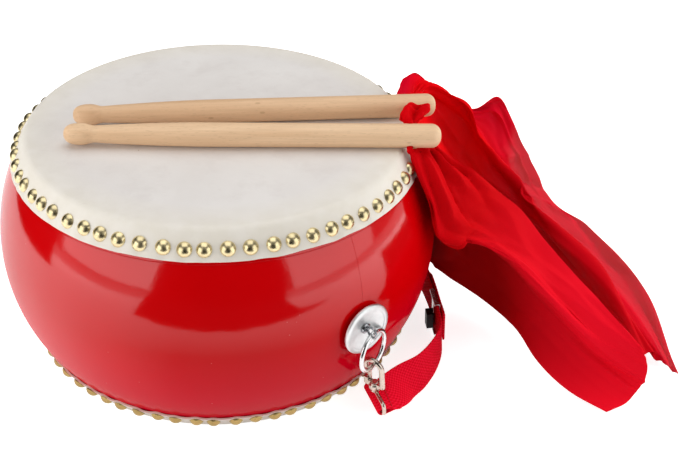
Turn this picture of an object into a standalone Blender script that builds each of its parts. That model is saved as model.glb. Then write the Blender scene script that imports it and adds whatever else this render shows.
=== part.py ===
"""Hand drum: a lacquered barrel with two tacked hide heads, a carrying strap and two scarf sticks.

Metres, +Z up. The origin is the centre of the lower head's flat face, which the drum stands on.
The sticks lie along X on the upper head. The two ring plates face each other across the barrel.
"""
import math
import random

import bmesh
import bpy
from mathutils import Matrix, Vector

# Clearances between pieces
FIT_GAP = 0.0003
RUNNING_GAP = 0.0005

# Facets round small pieces, and how many times the cut's size a cutter runs
FINE_FACETS = 24
ROUND_FACETS = 12
CUT_OVERRUN = 4

# Barrel of staves
SHELL_HEIGHT = 0.1515
BELLY_RADIUS = 0.1486
MERIDIAN_RADIUS = 0.125
SHELL_WALL = 0.010
BEARING_EDGE_RADIUS = 0.004
STAVE_COUNT = 16
STAVE_SEAM_ANGLE = -55.8
STAVE_FACETS = 2

# Hide heads and their tacks
HIDE_THICKNESS = 0.0012
HIDE_EDGE_HEIGHT = 0.0610
HIDE_FACETS = 48
TACK_ROW_HEIGHT = 0.0672
TACK_COUNT = 65
TACK_PHASE = -88.8
TACK_JITTER = 0.5
TACK_RADIUS = 0.00415
TACK_CROWN = 0.0026
TACK_SIDES = 6
TACK_BRIDGE_HEIGHT = 0.0009
TOP_TACK_SEED = 11
BOTTOM_TACK_SEED = 23

# Ring plates, split pins and rings
FRONT_RING_ANGLE = -55.5
REAR_RING_ANGLE = 124.5
PLATE_HEIGHT = 0.0755
PLATE_RADIUS = 0.018
PLATE_THICKNESS = 0.0010
PLATE_DISH = 0.0022
PLATE_RIM_WIDTH = 0.0035
PLATE_RIM_DROP = 0.0003
PLATE_BOWL_RADIUS = 0.0065
PLATE_BOWL_RISE = 0.0003
PIN_WIRE = 0.0022
PIN_LEG_GAP = 0.0005
PIN_HOLE_RADIUS = 0.0033
PIN_LEG_SPREAD = 0.010
EYE_REACH = 0.0075
EYE_HOLE_RADIUS = 0.0040
RING_RADIUS = 0.0134
RING_WIRE = 0.0035
RING_YAW = 10.0
HANG_TILT = 8.0

# Swivel snap hooks, sizes in the hook's own plane
HOOK_THICKNESS = 0.0036
HOOK_THROAT_RADIUS = 0.0046
HOOK_LIMB = 0.0034
HOOK_SPINE_LENGTH = 0.0150
HOOK_NOSE_LENGTH = 0.0040
HOOK_NOSE_CHAMFER = 0.0007
COLLAR_RADIUS = 0.0066
COLLAR_HEIGHT = 0.0040
STEM_RADIUS = 0.0020
STEM_HEAD_RADIUS = 0.0029
STEM_HEAD_HEIGHT = 0.0012
STEM_HEAD_CHAMFER = 0.0006
GATE_THICKNESS = 0.0020
GATE_WIDTH = 0.0019
GATE_PIVOT_RISE = 0.0032
GATE_SHOULDER = 0.0021
GATE_LAP = 0.0026
GATE_HUB_RADIUS = 0.0013
GATE_PIN_RADIUS = 0.0006
LUG_WIDTH = 0.0034
LUG_CHEEK = 0.0006
LOOP_WIRE = 0.0032
LOOP_DEPTH = 0.0090
LOOP_CORNER = 0.0019
LOOP_YAW = -30.0

# Webbing strap and its slider
STRAP_WIDTH = 0.025
STRAP_THICKNESS = 0.0015
STRAP_TAIL = 0.030
STRAP_STEP = 0.009
STRAP_RUN_OUT = 0.011
STRAP_RUN_OUT_LEAN = 78.0
STRAP_TURN_STEPS = 6
LOOP_SIDE_GAP = 0.0007
SLIDER_LENGTH = 0.018
SLIDER_BAR = 0.0030
SLIDER_RAIL = 0.0026
SLIDER_STATION = 0.100

# Sticks
STICK_LENGTH = 0.238
STICK_RADIUS = 0.0077
STICK_NECK_RADIUS = 0.0054
STICK_SHOULDER_RADIUS = 0.0069
STICK_TIP_RADIUS = 0.0069
STICK_TIP_LENGTH = 0.0176
STICK_TAPER_LENGTH = 0.062
STICK_BUTT_ROUND = 0.0062
STICK_HOLE_RADIUS = 0.0030
STICK_HOLE_FROM_BUTT = 0.020
STICK_END_STEPS = 5
STICK_FACETS = 20

# Scarves
CLOTH_THICKNESS = 0.0012
CLOTH_TIE_RADIUS = 0.0024
CLOTH_KNOT_RADIUS = 0.0046
CLOTH_STEPS = 2

# Heights and centres that follow from the sizes above
HALF_SHELL = SHELL_HEIGHT / 2
HEAD_OFFSET = FIT_GAP + HIDE_THICKNESS
CENTRE_HEIGHT = HALF_SHELL + HEAD_OFFSET
TOP_FACE = 2 * CENTRE_HEIGHT
MERIDIAN_CENTRE = BELLY_RADIUS - MERIDIAN_RADIUS
STICK_AXIS_HEIGHT = TOP_FACE + FIT_GAP + STICK_RADIUS
THROAT_CENTRE = RING_WIRE / 2 + RUNNING_GAP - HOOK_THROAT_RADIUS
COLLAR_TOP = THROAT_CENTRE - HOOK_SPINE_LENGTH
COLLAR_BASE = COLLAR_TOP - COLLAR_HEIGHT
LOOP_TOP = COLLAR_BASE - RUNNING_GAP - LOOP_WIRE / 2
BAR_DROP = -LOOP_TOP + LOOP_DEPTH
STRAP_TURN = LOOP_WIRE / 2 + FIT_GAP + STRAP_THICKNESS / 2
RING_DROP = EYE_HOLE_RADIUS - RING_WIRE / 2 - FIT_GAP

# Stick poses on the upper head: the tip's end in plan, then the heading and the elevation of the
# scarf's hole mouth in degrees
STICK_POSES = {
    "front": ((-0.0965, -0.0243), -4.1, -50.0),
    "rear": ((-0.0929, 0.0000), 0.2, 190.0),
}

# The strap's route from the front loop bar to half way round: x, y and height in millimetres,
# and the lean from upright in degrees
STRAP_HALF_ROUTE = [
    (118.0, -106.0, 12.9, 26.0),
    (130.5, -96.0, 12.9, 15.0),
    (141.5, -82.5, 12.9, 18.0),
    (148.5, -65.0, 13.8, 14.0),
    (150.0, -44.0, 15.5, 8.0),
    (149.5, -20.0, 15.8, 3.0),
    (149.0, 5.0, 15.4, 0.0),
    (146.0, 31.0, 14.2, 0.0),
    (137.0, 61.0, 13.4, 0.0),
]
STRAP_MID_RADIUS = 150.0
STRAP_MID_HEIGHT = 13.3

# Each scarf's fold lines from the stick to the hem, in millimetres
FRONT_FOLDS = [
    [(139, -48, 156), (145, -40, 149), (153, -38, 141), (164, -38, 133), (176, -38, 123), (188, -38, 113),
     (204, -40, 100), (218, -50, 84), (235, -72, 70), (255, -96, 54), (273, -116, 40)],
    [(135, -49, 157), (140, -46, 146), (148, -48, 137), (157, -50, 125), (167, -51, 113), (177, -52, 105),
     (194, -55, 92), (210, -64, 76), (228, -82, 64), (251, -102, 47), (276, -118, 33)],
    [(131, -49, 157), (134, -51, 146), (140, -58, 134), (148, -62, 118), (158, -62, 105), (168, -60, 100),
     (183, -63, 91), (200, -72, 79), (220, -88, 59), (247, -106, 39), (278, -119, 25)],
    [(124, -48, 157), (126, -56, 145), (133, -66, 128), (140, -70, 105), (151, -72, 98), (159, -68, 99),
     (173, -70, 94), (191, -76, 85), (211, -88, 69), (241, -106, 40), (277, -121, 16)],
    [(125, -46, 155), (129, -52, 143), (136, -62, 126), (143, -65, 103), (154, -66, 95), (162, -63, 96),
     (175, -64, 89), (192, -70, 78), (212, -84, 61), (241, -105, 34), (275, -123, 13)],
    [(127, -44, 153), (134, -42, 136), (145, -38, 111), (156, -32, 84), (166, -28, 72), (174, -28, 72),
     (187, -36, 67), (199, -52, 59), (217, -74, 46), (243, -100, 26), (272, -125, 10)],
    [(131, -42, 152), (140, -38, 131), (149, -30, 102), (159, -24, 64), (170, -22, 51), (180, -26, 46),
     (193, -38, 39), (203, -56, 36), (217, -78, 27), (238, -106, 14), (263, -131, 6)],
    [(136, -41, 151), (145, -34, 125), (151, -20, 87), (152, -8, 41), (162, -12, 30), (176, -22, 22),
     (193, -44, 18), (202, -68, 20), (212, -98, 13), (228, -118, 6), (248, -136, 3)],
]
REAR_FOLDS = [
    [(139, 20, 149), (146, 23, 127), (157, 25, 101), (172, 22, 83), (188, 14, 70), (202, 2, 62),
     (219, -12, 52), (234, -30, 40), (253, -54, 27), (269, -76, 17), (282, -98, 20)],
    [(139, 20, 157), (148, 27, 146), (159, 31, 128), (172, 31, 109), (186, 25, 95), (199, 17, 84),
     (214, 4, 71), (228, -14, 63), (244, -42, 56), (265, -68, 40), (287, -96, 16)],
    [(136, 21, 158), (147, 30, 166), (162, 31, 163), (176, 28, 152), (187, 22, 127), (200, 16, 108),
     (218, 10, 93), (222, 0, 82), (239, -22, 72), (265, -53, 54), (294, -92, 14)],
    [(132, 22, 158), (143, 37, 165), (160, 42, 154), (176, 41, 138), (188, 36, 116), (201, 30, 95),
     (218, 24, 79), (224, 12, 67), (244, -10, 54), (271, -44, 36), (301, -92, 6)],
    [(127, 22, 158), (136, 39, 169), (155, 46, 154), (182, 50, 130), (201, 50, 124), (215, 46, 101),
     (229, 40, 76), (241, 30, 58), (263, 4, 44), (291, -38, 25), (306, -98, 4)],
    [(122, 22, 158), (128, 38, 165), (151, 46, 154), (185, 52, 131), (205, 54, 139), (221, 52, 114),
     (236, 47, 85), (252, 38, 59), (280, 12, 44), (307, -36, 25), (311, -103, 3)],
]


def clear_scene():
    for obj in list(bpy.data.objects):
        bpy.data.objects.remove(obj, do_unlink=True)


def make_collection(name):
    collection = bpy.data.collections.new(name)
    bpy.context.scene.collection.children.link(collection)
    return collection


def make_material(name, colour, roughness, metallic=0.0):
    material = bpy.data.materials.new(name)
    material.use_nodes = True
    shader = material.node_tree.nodes["Principled BSDF"]
    shader.inputs["Base Color"].default_value = (*colour, 1.0)
    shader.inputs["Roughness"].default_value = roughness
    shader.inputs["Metallic"].default_value = metallic
    return material


def add_object(name, data, material, parent=None, matrix=None):
    obj = bpy.data.objects.new(name, data)
    PARTS.objects.link(obj)
    if material is not None:
        obj.data.materials.append(material)
    if parent is not None:
        obj.parent = parent
    if matrix is not None:
        obj.matrix_local = matrix
    return obj


def add_empty(name, matrix, parent=None):
    empty = bpy.data.objects.new(name, None)
    empty.empty_display_size = 0.01
    PARTS.objects.link(empty)
    empty.parent = parent
    empty.matrix_local = matrix
    return empty


def hide_cutter(obj):
    obj.hide_render = True
    obj.display_type = "WIRE"
    PARTS.objects.unlink(obj)
    CUTTERS.objects.link(obj)


def boolean(obj, other, operation, solver="EXACT"):
    modifier = obj.modifiers.new(other.name, "BOOLEAN")
    modifier.operation = operation
    modifier.solver = solver
    modifier.object = other
    hide_cutter(other)


def finished_mesh(obj):
    """The object's mesh with its cuts and joins made, for a piece that is used more than once."""
    evaluated = obj.evaluated_get(bpy.context.evaluated_depsgraph_get())
    mesh = bpy.data.meshes.new_from_object(evaluated)
    for modifier in list(obj.modifiers):
        other = modifier.object
        obj.modifiers.remove(modifier)
        bpy.data.objects.remove(other, do_unlink=True)
    bpy.data.objects.remove(obj, do_unlink=True)
    return mesh


def smooth(mesh, angle=40.0):
    mesh.shade_smooth()
    mesh.set_sharp_from_angle(angle=math.radians(angle))


def turn_z(degrees):
    return Matrix.Rotation(math.radians(degrees), 4, "Z")


def turn_x(degrees):
    return Matrix.Rotation(math.radians(degrees), 4, "X")


def turn_y(degrees):
    return Matrix.Rotation(math.radians(degrees), 4, "Y")


def shift(x, y, z):
    return Matrix.Translation((x, y, z))


def arc(centre, radius, start, end, count):
    """Points of a circle's arc in the profile plane, from the start angle to the end angle in radians."""
    points = []
    for i in range(count + 1):
        angle = start + (end - start) * i / count
        points.append((centre[0] + radius * math.cos(angle), centre[1] + radius * math.sin(angle)))
    return points


def turned(name, profile, facets, material, parent=None, matrix=None):
    """A solid of revolution: the profile's (radius, height) points run down the outer side."""
    mesh = bpy.data.meshes.new(name)
    vertices = [(r, 0.0, z) for r, z in profile]
    closed = profile[0][0] > 0.0
    edges = [(i, i + 1) for i in range(len(vertices) - 1)]
    if closed:
        edges.append((len(vertices) - 1, 0))
    mesh.from_pydata(vertices, edges, [])
    obj = add_object(name, mesh, material, parent, matrix)
    screw = obj.modifiers.new("Screw", "SCREW")
    screw.angle = 2 * math.pi
    screw.steps = facets
    screw.render_steps = facets
    screw.use_merge_vertices = True
    screw.merge_threshold = 0.00001
    screw.use_smooth_shade = True
    return obj


def cylinder_mesh(name, radius, length, facets):
    mesh = bpy.data.meshes.new(name)
    bm = bmesh.new()
    bmesh.ops.create_cone(bm, cap_ends=True, segments=facets, radius1=radius, radius2=radius, depth=length)
    bm.to_mesh(mesh)
    bm.free()
    smooth(mesh)
    return mesh


def box_mesh(name, size_x, size_y, size_z):
    mesh = bpy.data.meshes.new(name)
    bm = bmesh.new()
    bmesh.ops.create_cube(bm, size=1.0)
    bmesh.ops.scale(bm, vec=(size_x, size_y, size_z), verts=bm.verts)
    bm.to_mesh(mesh)
    bm.free()
    return mesh


def wire_mesh(name, points, radius, cyclic=False, sides=2):
    """A round wire along the points, as a closed mesh."""
    curve = bpy.data.curves.new(name, "CURVE")
    curve.dimensions = "3D"
    curve.bevel_depth = radius
    curve.bevel_resolution = sides
    curve.use_fill_caps = not cyclic
    spline = curve.splines.new("POLY")
    spline.points.add(len(points) - 1)
    for point, place in zip(spline.points, points):
        point.co = (*place, 1.0)
    spline.use_cyclic_u = cyclic
    return curve_to_mesh(name, curve)


def outline_mesh(name, outline, thickness):
    """A flat plate with the given outline in the XZ plane, centred on Y."""
    curve = bpy.data.curves.new(name, "CURVE")
    curve.dimensions = "2D"
    curve.fill_mode = "BOTH"
    curve.extrude = thickness / 2
    spline = curve.splines.new("POLY")
    spline.points.add(len(outline) - 1)
    for point, (x, z) in zip(spline.points, outline):
        point.co = (x, z, 0.0, 1.0)
    spline.use_cyclic_u = True
    mesh = curve_to_mesh(name, curve)
    mesh.transform(turn_x(90))
    return mesh


def curve_to_mesh(name, curve):
    carrier = bpy.data.objects.new(name, curve)
    bpy.context.scene.collection.objects.link(carrier)
    evaluated = carrier.evaluated_get(bpy.context.evaluated_depsgraph_get())
    mesh = bpy.data.meshes.new_from_object(evaluated)
    bpy.data.objects.remove(carrier, do_unlink=True)
    bpy.data.curves.remove(curve)
    mesh.name = name
    bm = bmesh.new()
    bm.from_mesh(mesh)
    bmesh.ops.remove_doubles(bm, verts=bm.verts, dist=0.000001)
    bmesh.ops.recalc_face_normals(bm, faces=bm.faces)
    bm.to_mesh(mesh)
    bm.free()
    smooth(mesh)
    return mesh


def catmull_rom(points, count):
    """Count + 1 places along a smooth curve through the points, evenly spaced in its parameter."""
    padded = [2 * points[0] - points[1], *points, 2 * points[-1] - points[-2]]
    spans = len(points) - 1
    places = []
    for i in range(count + 1):
        position = spans * i / count
        k = min(int(position), spans - 1)
        t = position - k
        a, b, c, d = padded[k:k + 4]
        places.append(0.5 * (2 * b + (c - a) * t + (2 * a - 5 * b + 4 * c - d) * t ** 2
                             + (3 * b - a - 3 * c + d) * t ** 3))
    return places


# Barrel

def fillet_centre():
    """Centre of the bearing edge's rounding, in the upper half of the profile plane."""
    height = HALF_SHELL - BEARING_EDGE_RADIUS
    reach = MERIDIAN_RADIUS - BEARING_EDGE_RADIUS
    return MERIDIAN_CENTRE + math.sqrt(reach ** 2 - height ** 2), height


def rim_line(offset, low_angle, steps=5):
    """The shell's outer line at an offset, from the bearing edge's flat down to a meridian angle."""
    centre = fillet_centre()
    turn = math.atan2(centre[1], centre[0] - MERIDIAN_CENTRE)
    rounding = arc(centre, BEARING_EDGE_RADIUS + offset, math.pi / 2, turn, 2)
    side = arc((MERIDIAN_CENTRE, 0.0), MERIDIAN_RADIUS + offset, turn, low_angle, steps)
    return rounding + side[1:]


def meridian_angle(height, offset):
    return math.asin(height / (MERIDIAN_RADIUS + offset))


def mirrored(profile):
    """The same profile upside down, still running from the top down."""
    return [(r, -z) for r, z in reversed(profile)]


def stave_profile():
    outer = rim_line(0.0, 0.0, 3)
    inner_radius = MERIDIAN_RADIUS - SHELL_WALL
    inner_end = math.asin(HALF_SHELL / inner_radius)
    inner = arc((MERIDIAN_CENTRE, 0.0), inner_radius, -inner_end, inner_end, 8)
    return outer + mirrored(outer)[1:] + inner


def stave_mesh():
    """One stave: the barrel's profile swept through its share of the turn, less the glue gap."""
    profile = stave_profile()
    inner_reach = min(r for r, z in profile)
    gap_angle = 2 * math.asin(FIT_GAP / 2 / inner_reach)
    sweep = 2 * math.pi / STAVE_COUNT - gap_angle
    mesh = bpy.data.meshes.new("stave")
    bm = bmesh.new()
    face = bm.faces.new([bm.verts.new((r, 0.0, z)) for r, z in profile])
    bmesh.ops.rotate(bm, verts=bm.verts, cent=(0, 0, 0), matrix=Matrix.Rotation(gap_angle / 2, 3, "Z"))
    bmesh.ops.spin(bm, geom=[face, *face.edges, *face.verts], cent=(0, 0, 0), axis=(0, 0, 1),
                   angle=sweep, steps=STAVE_FACETS)
    bmesh.ops.recalc_face_normals(bm, faces=bm.faces)
    bm.to_mesh(mesh)
    bm.free()
    smooth(mesh)
    return mesh


def make_staves(material):
    mesh = stave_mesh()
    step = 360.0 / STAVE_COUNT
    pin_angles = (FRONT_RING_ANGLE, REAR_RING_ANGLE)
    for i in range(STAVE_COUNT):
        start = STAVE_SEAM_ANGLE + i * step
        place = shift(0, 0, CENTRE_HEIGHT) @ turn_z(start)
        stave = add_object(f"stave_{i + 1:02d}", mesh.copy(), material, None, place)
        for angle in pin_angles:
            nearness = (angle - start - step / 2 + 180.0) % 360.0 - 180.0
            if abs(nearness) < step:
                hole = cylinder_mesh("pin_hole", PIN_HOLE_RADIUS, CUT_OVERRUN * SHELL_WALL, ROUND_FACETS)
                place = plate_frame(angle) @ turn_y(90)
                boolean(stave, add_object(f"{stave.name}_pin_hole", hole, None, None, place), "DIFFERENCE")


# Heads and tacks

def hide_profile():
    low = meridian_angle(HIDE_EDGE_HEIGHT, HEAD_OFFSET)
    outer = rim_line(HEAD_OFFSET, low, 2)
    inner = rim_line(FIT_GAP, low, 2)
    return [(0.0, outer[0][1]), *outer, *reversed(inner), (0.0, inner[0][1])]


def tack_base():
    """Where a tack's dome meets the hide, in the profile plane, and the surface's slope there."""
    offset = HEAD_OFFSET + FIT_GAP
    angle = meridian_angle(TACK_ROW_HEIGHT, offset)
    reach = MERIDIAN_RADIUS + offset
    return MERIDIAN_CENTRE + reach * math.cos(angle), reach * math.sin(angle), angle


def tack_angles(seed):
    """Hand-driven spacing: even steps with a small scatter."""
    scatter = random.Random(seed)
    step = 360.0 / TACK_COUNT
    return [TACK_PHASE + i * step + scatter.uniform(-TACK_JITTER, TACK_JITTER) for i in range(TACK_COUNT)]


def dome_ring():
    """Height and radius of the ring between a dome's rim and its crown."""
    sphere = (TACK_RADIUS ** 2 + TACK_CROWN ** 2) / (2 * TACK_CROWN)
    height = TACK_BRIDGE_HEIGHT
    return height, math.sqrt(sphere ** 2 - (sphere - TACK_CROWN + height) ** 2)


def add_dome(bm, matrix):
    """A low dome with its two sides along the row left open, for the bridges; returns its two rings."""
    height, radius = dome_ring()
    rings = []
    for ring_height, ring_radius in ((0.0, TACK_RADIUS), (height, radius)):
        ring = []
        for i in range(TACK_SIDES):
            angle = 2 * math.pi * i / TACK_SIDES
            place = Vector((ring_radius * math.cos(angle), ring_radius * math.sin(angle), ring_height))
            ring.append(bm.verts.new(matrix @ place))
        rings.append(ring)
    rim, upper = rings
    crown = bm.verts.new(matrix @ Vector((0, 0, TACK_CROWN)))
    bm.faces.new(rim)
    for i in range(TACK_SIDES):
        j = (i + 1) % TACK_SIDES
        bm.faces.new((upper[i], upper[j], crown))
        if i not in (1, 4):
            bm.faces.new((rim[i], rim[j], upper[j], upper[i]))
    return rim, upper


def add_bridge(bm, this, following):
    """A low bar from one dome's open side to the next one's."""
    start = (this[0][1], this[0][2], this[1][2], this[1][1])
    end = (following[0][5], following[0][4], following[1][4], following[1][5])
    for i in range(4):
        j = (i + 1) % 4
        bm.faces.new((start[i], start[j], end[j], end[i]))


def make_tack_row(name, seed, side, material):
    """One row of domes, bridged into one body; side is 1 for the upper head and -1 for the lower."""
    reach, height, slope = tack_base()
    mesh = bpy.data.meshes.new(name)
    bm = bmesh.new()
    domes = []
    for angle in tack_angles(seed):
        tilt = turn_y(90 - side * math.degrees(slope))
        domes.append(add_dome(bm, turn_z(angle) @ shift(reach, 0, side * height) @ tilt))
    for this, following in zip(domes, domes[1:] + domes[:1]):
        add_bridge(bm, this, following)
    bmesh.ops.recalc_face_normals(bm, faces=bm.faces)
    bm.to_mesh(mesh)
    bm.free()
    smooth(mesh)
    add_object(name, mesh, material, None, shift(0, 0, CENTRE_HEIGHT))


def make_heads(hide, brass):
    profile = hide_profile()
    turned("top_head", profile, HIDE_FACETS, hide, None, shift(0, 0, CENTRE_HEIGHT))
    turned("bottom_head", mirrored(profile), HIDE_FACETS, hide, None, shift(0, 0, CENTRE_HEIGHT))
    make_tack_row("top_tacks", TOP_TACK_SEED, 1, brass)
    make_tack_row("bottom_tacks", BOTTOM_TACK_SEED, -1, brass)


# Ring pulls

def plate_frame(angle):
    """At the barrel's surface where a plate sits: X points out of the barrel, Z up."""
    return turn_z(angle) @ shift(BELLY_RADIUS, 0, PLATE_HEIGHT)


def hang_frame(angle, side):
    """At the ring's wire in its eye: X out of the ring's face, Z up the hanging line."""
    place = turn_z(angle) @ shift(BELLY_RADIUS + EYE_REACH, 0, PLATE_HEIGHT - RING_DROP)
    return place @ turn_z(side * RING_YAW) @ turn_x(side * HANG_TILT)


def plate_profile():
    """A dished disc with a flat rim, bored for the split pin, heights out of the barrel."""
    hole = PIN_HOLE_RADIUS
    dish = PLATE_RADIUS - PLATE_RIM_WIDTH
    back = [(hole, 0.0), (PLATE_BOWL_RADIUS, PLATE_BOWL_RISE), (dish, PLATE_DISH),
            (PLATE_RADIUS, PLATE_DISH - PLATE_RIM_DROP)]
    front = [(r, z + PLATE_THICKNESS) for r, z in back]
    return front + list(reversed(back))


def make_plate(name, angle, material):
    place = plate_frame(angle) @ shift(FIT_GAP, 0, 0) @ turn_y(90)
    turned(name, plate_profile(), FINE_FACETS, material, None, place)


def pin_path():
    """The split pin's wire: one leg in, round the eye, and back out along the other leg."""
    leg = (PIN_WIRE + PIN_LEG_GAP) / 2
    eye = EYE_HOLE_RADIUS + PIN_WIRE / 2
    opening = math.asin(leg / eye)
    inner_bow = (leg + PIN_LEG_SPREAD) ** 2 / (MERIDIAN_RADIUS - SHELL_WALL)
    inside = -SHELL_WALL - FIT_GAP - PIN_WIRE / 2 - inner_bow
    upper = [(inside, 0.0, leg + PIN_LEG_SPREAD), (inside, 0.0, leg + PIN_WIRE),
             (inside + PIN_WIRE / 2, 0.0, leg)]
    lower = [(x, y, -z) for x, y, z in reversed(upper)]
    loop = []
    for x, z in arc((EYE_REACH, 0.0), eye, math.pi - opening, -math.pi + opening, 16):
        loop.append((x, 0.0, z))
    return upper + loop + lower


def make_pin(name, angle, material):
    mesh = wire_mesh(name, pin_path(), PIN_WIRE / 2, sides=1)
    add_object(name, mesh, material, None, plate_frame(angle))


def make_ring(name, hang, material):
    bpy.ops.mesh.primitive_torus_add(major_radius=RING_RADIUS, minor_radius=RING_WIRE / 2,
                                     major_segments=FINE_FACETS, minor_segments=8)
    ring = bpy.context.object
    for collection in list(ring.users_collection):
        collection.objects.unlink(ring)
    ring.name = name
    PARTS.objects.link(ring)
    ring.data.materials.append(material)
    smooth(ring.data)
    ring.parent = hang
    ring.matrix_local = shift(0, 0, -RING_RADIUS) @ turn_y(90)


# Snap hooks

def hook_outline():
    """The hook's flat outline: spine, round top and nose, above the collar."""
    inner = HOOK_THROAT_RADIUS
    outer = inner + HOOK_LIMB
    centre = (0.0, THROAT_CENTRE)
    foot = COLLAR_TOP - COLLAR_HEIGHT / 2
    top = arc(centre, outer, 0.0, math.pi, 12)
    throat = arc(centre, inner, math.pi, 0.0, 10)
    nose = THROAT_CENTRE - HOOK_NOSE_LENGTH
    tip = [(-outer + HOOK_NOSE_CHAMFER, nose), (-inner, nose)]
    return [(outer, foot), *top, *tip, *throat, (inner, foot)]


def gate_pivot():
    """The gate's pin, on the lug that stands on the collar below the nose."""
    return Vector((-HOOK_THROAT_RADIUS - LUG_WIDTH / 2 + GATE_WIDTH / 2, 0.0, COLLAR_TOP + GATE_PIVOT_RISE))


def hook_mesh():
    """Hook body, its origin at the ring's wire in the throat."""
    hook = add_object("hook", outline_mesh("hook", hook_outline(), HOOK_THICKNESS), None)
    middle = shift(0, 0, COLLAR_TOP - COLLAR_HEIGHT / 2)
    collar = cylinder_mesh("collar", COLLAR_RADIUS, COLLAR_HEIGHT, FINE_FACETS)
    boolean(hook, add_object("collar", collar, None, None, middle), "UNION")
    pivot = gate_pivot()
    lug_top = pivot.z + GATE_HUB_RADIUS
    lug_height = lug_top - COLLAR_TOP + COLLAR_HEIGHT / 2
    lug = box_mesh("lug", LUG_WIDTH, HOOK_THICKNESS + 2 * LUG_CHEEK, lug_height)
    place = shift(pivot.x, 0, lug_top - lug_height / 2)
    boolean(hook, add_object("lug", lug, None, None, place), "UNION")
    slot_width = GATE_THICKNESS + 2 * FIT_GAP
    slot_depth = 2 * GATE_HUB_RADIUS + 2 * RUNNING_GAP
    slot = box_mesh("slot", CUT_OVERRUN * LUG_WIDTH, slot_width, slot_depth)
    boolean(hook, add_object("slot", slot, None, None, Matrix.Translation(pivot)), "DIFFERENCE")
    bore = cylinder_mesh("bore", STEM_RADIUS + FIT_GAP, CUT_OVERRUN * COLLAR_HEIGHT, ROUND_FACETS)
    boolean(hook, add_object("bore", bore, None, None, middle), "DIFFERENCE")
    cut = CUT_OVERRUN * HOOK_THICKNESS
    pin_bore = cylinder_mesh("pin_bore", GATE_PIN_RADIUS + FIT_GAP, cut, ROUND_FACETS)
    place = Matrix.Translation(pivot) @ turn_x(90)
    boolean(hook, add_object("pin_bore", pin_bore, None, None, place), "DIFFERENCE")
    return finished_mesh(hook)


def gate_outline():
    """A bar from the hub up past the nose's tip, on the throat's side of it, with the hub's round foot."""
    pivot = gate_pivot()
    inside = -HOOK_THROAT_RADIUS + FIT_GAP - pivot.x
    reach = THROAT_CENTRE - HOOK_NOSE_LENGTH + GATE_LAP - pivot.z
    hub = arc((0.0, 0.0), GATE_HUB_RADIUS, math.pi * 1.05, math.pi * 2.0, 8)
    outside = inside + GATE_WIDTH
    return [*hub, (outside, GATE_SHOULDER), (outside, reach), (inside, reach), (inside, GATE_SHOULDER)]


def gate_mesh():
    gate = add_object("gate", outline_mesh("gate", gate_outline(), GATE_THICKNESS), None)
    bore = cylinder_mesh("gate_bore", GATE_PIN_RADIUS + FIT_GAP, CUT_OVERRUN * GATE_THICKNESS, ROUND_FACETS)
    boolean(gate, add_object("gate_bore", bore, None, None, turn_x(90)), "DIFFERENCE")
    return finished_mesh(gate)


def loop_points():
    """The strap loop's wire, a rectangle with rounded corners in the XZ plane."""
    half = STRAP_WIDTH / 2 + LOOP_SIDE_GAP + LOOP_WIRE / 2
    corner = LOOP_CORNER
    low = LOOP_TOP - LOOP_DEPTH
    points = []
    for x, z, start in ((half, LOOP_TOP, 0.0), (-half, LOOP_TOP, 0.5), (-half, low, 1.0), (half, low, 1.5)):
        cx = x - math.copysign(corner, x)
        cz = z - corner if z > low else z + corner
        for px, pz in arc((cx, cz), corner, math.pi * start, math.pi * (start + 0.5), 3):
            points.append((px, 0.0, pz))
    return points


def loop_mesh():
    """The swivelling strap loop: its stem passes the collar and is headed above it."""
    loop = add_object("loop", wire_mesh("loop", loop_points(), LOOP_WIRE / 2, True, 1), None)
    head_base = COLLAR_TOP + FIT_GAP
    head_top = head_base + STEM_HEAD_HEIGHT
    profile = [(0.0, head_top), (STEM_HEAD_RADIUS - STEM_HEAD_CHAMFER, head_top),
               (STEM_HEAD_RADIUS, head_top - STEM_HEAD_CHAMFER), (STEM_HEAD_RADIUS, head_base),
               (STEM_RADIUS, head_base), (STEM_RADIUS, LOOP_TOP), (0.0, LOOP_TOP)]
    boolean(loop, turned("stem", profile, ROUND_FACETS, None), "UNION")
    return finished_mesh(loop)


def make_ring_pulls(steel, nickel):
    """Front and rear: plate, split pin, ring, hook, gate, gate pin and strap loop."""
    hook = hook_mesh()
    gate = gate_mesh()
    loop = loop_mesh()
    pin = cylinder_mesh("gate_pin", GATE_PIN_RADIUS, HOOK_THICKNESS + 2 * LUG_CHEEK, ROUND_FACETS)
    pivot = Matrix.Translation(gate_pivot())
    for side, angle, sign in (("front", FRONT_RING_ANGLE, 1), ("rear", REAR_RING_ANGLE, -1)):
        make_plate(f"{side}_ring_plate", angle, steel)
        make_pin(f"{side}_split_pin", angle, steel)
        hang = add_empty(f"{side}_ring_axis", hang_frame(angle, sign))
        make_ring(f"{side}_ring", hang, steel)
        seat = add_empty(f"{side}_hook_seat", shift(0, 0, -2 * RING_RADIUS), hang)
        add_object(f"{side}_hook", hook.copy(), nickel, seat)
        add_object(f"{side}_gate", gate.copy(), nickel, seat, pivot)
        add_object(f"{side}_gate_pin", pin.copy(), steel, seat, pivot @ turn_x(90))
        swivel = add_empty(f"{side}_swivel", turn_z(sign * LOOP_YAW), seat)
        add_object(f"{side}_strap_loop", loop.copy(), nickel, swivel)


# Strap

def bar_centre(angle, side):
    return hang_frame(angle, side) @ Vector((0.0, 0.0, -2 * RING_RADIUS - BAR_DROP))


def bar_direction(angle, side):
    frame = hang_frame(angle, side) @ turn_z(side * LOOP_YAW)
    return (frame.to_3x3() @ Vector((-1.0, 0.0, 0.0))).normalized()


def mirror_plan(point):
    """The point's mirror image in the upright plane half way between the two ring plates."""
    middle = math.radians((FRONT_RING_ANGLE + REAR_RING_ANGLE) / 2)
    radius = math.hypot(point.x, point.y)
    angle = 2 * middle - math.atan2(point.y, point.x)
    return Vector((radius * math.cos(angle), radius * math.sin(angle), point.z))


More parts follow.
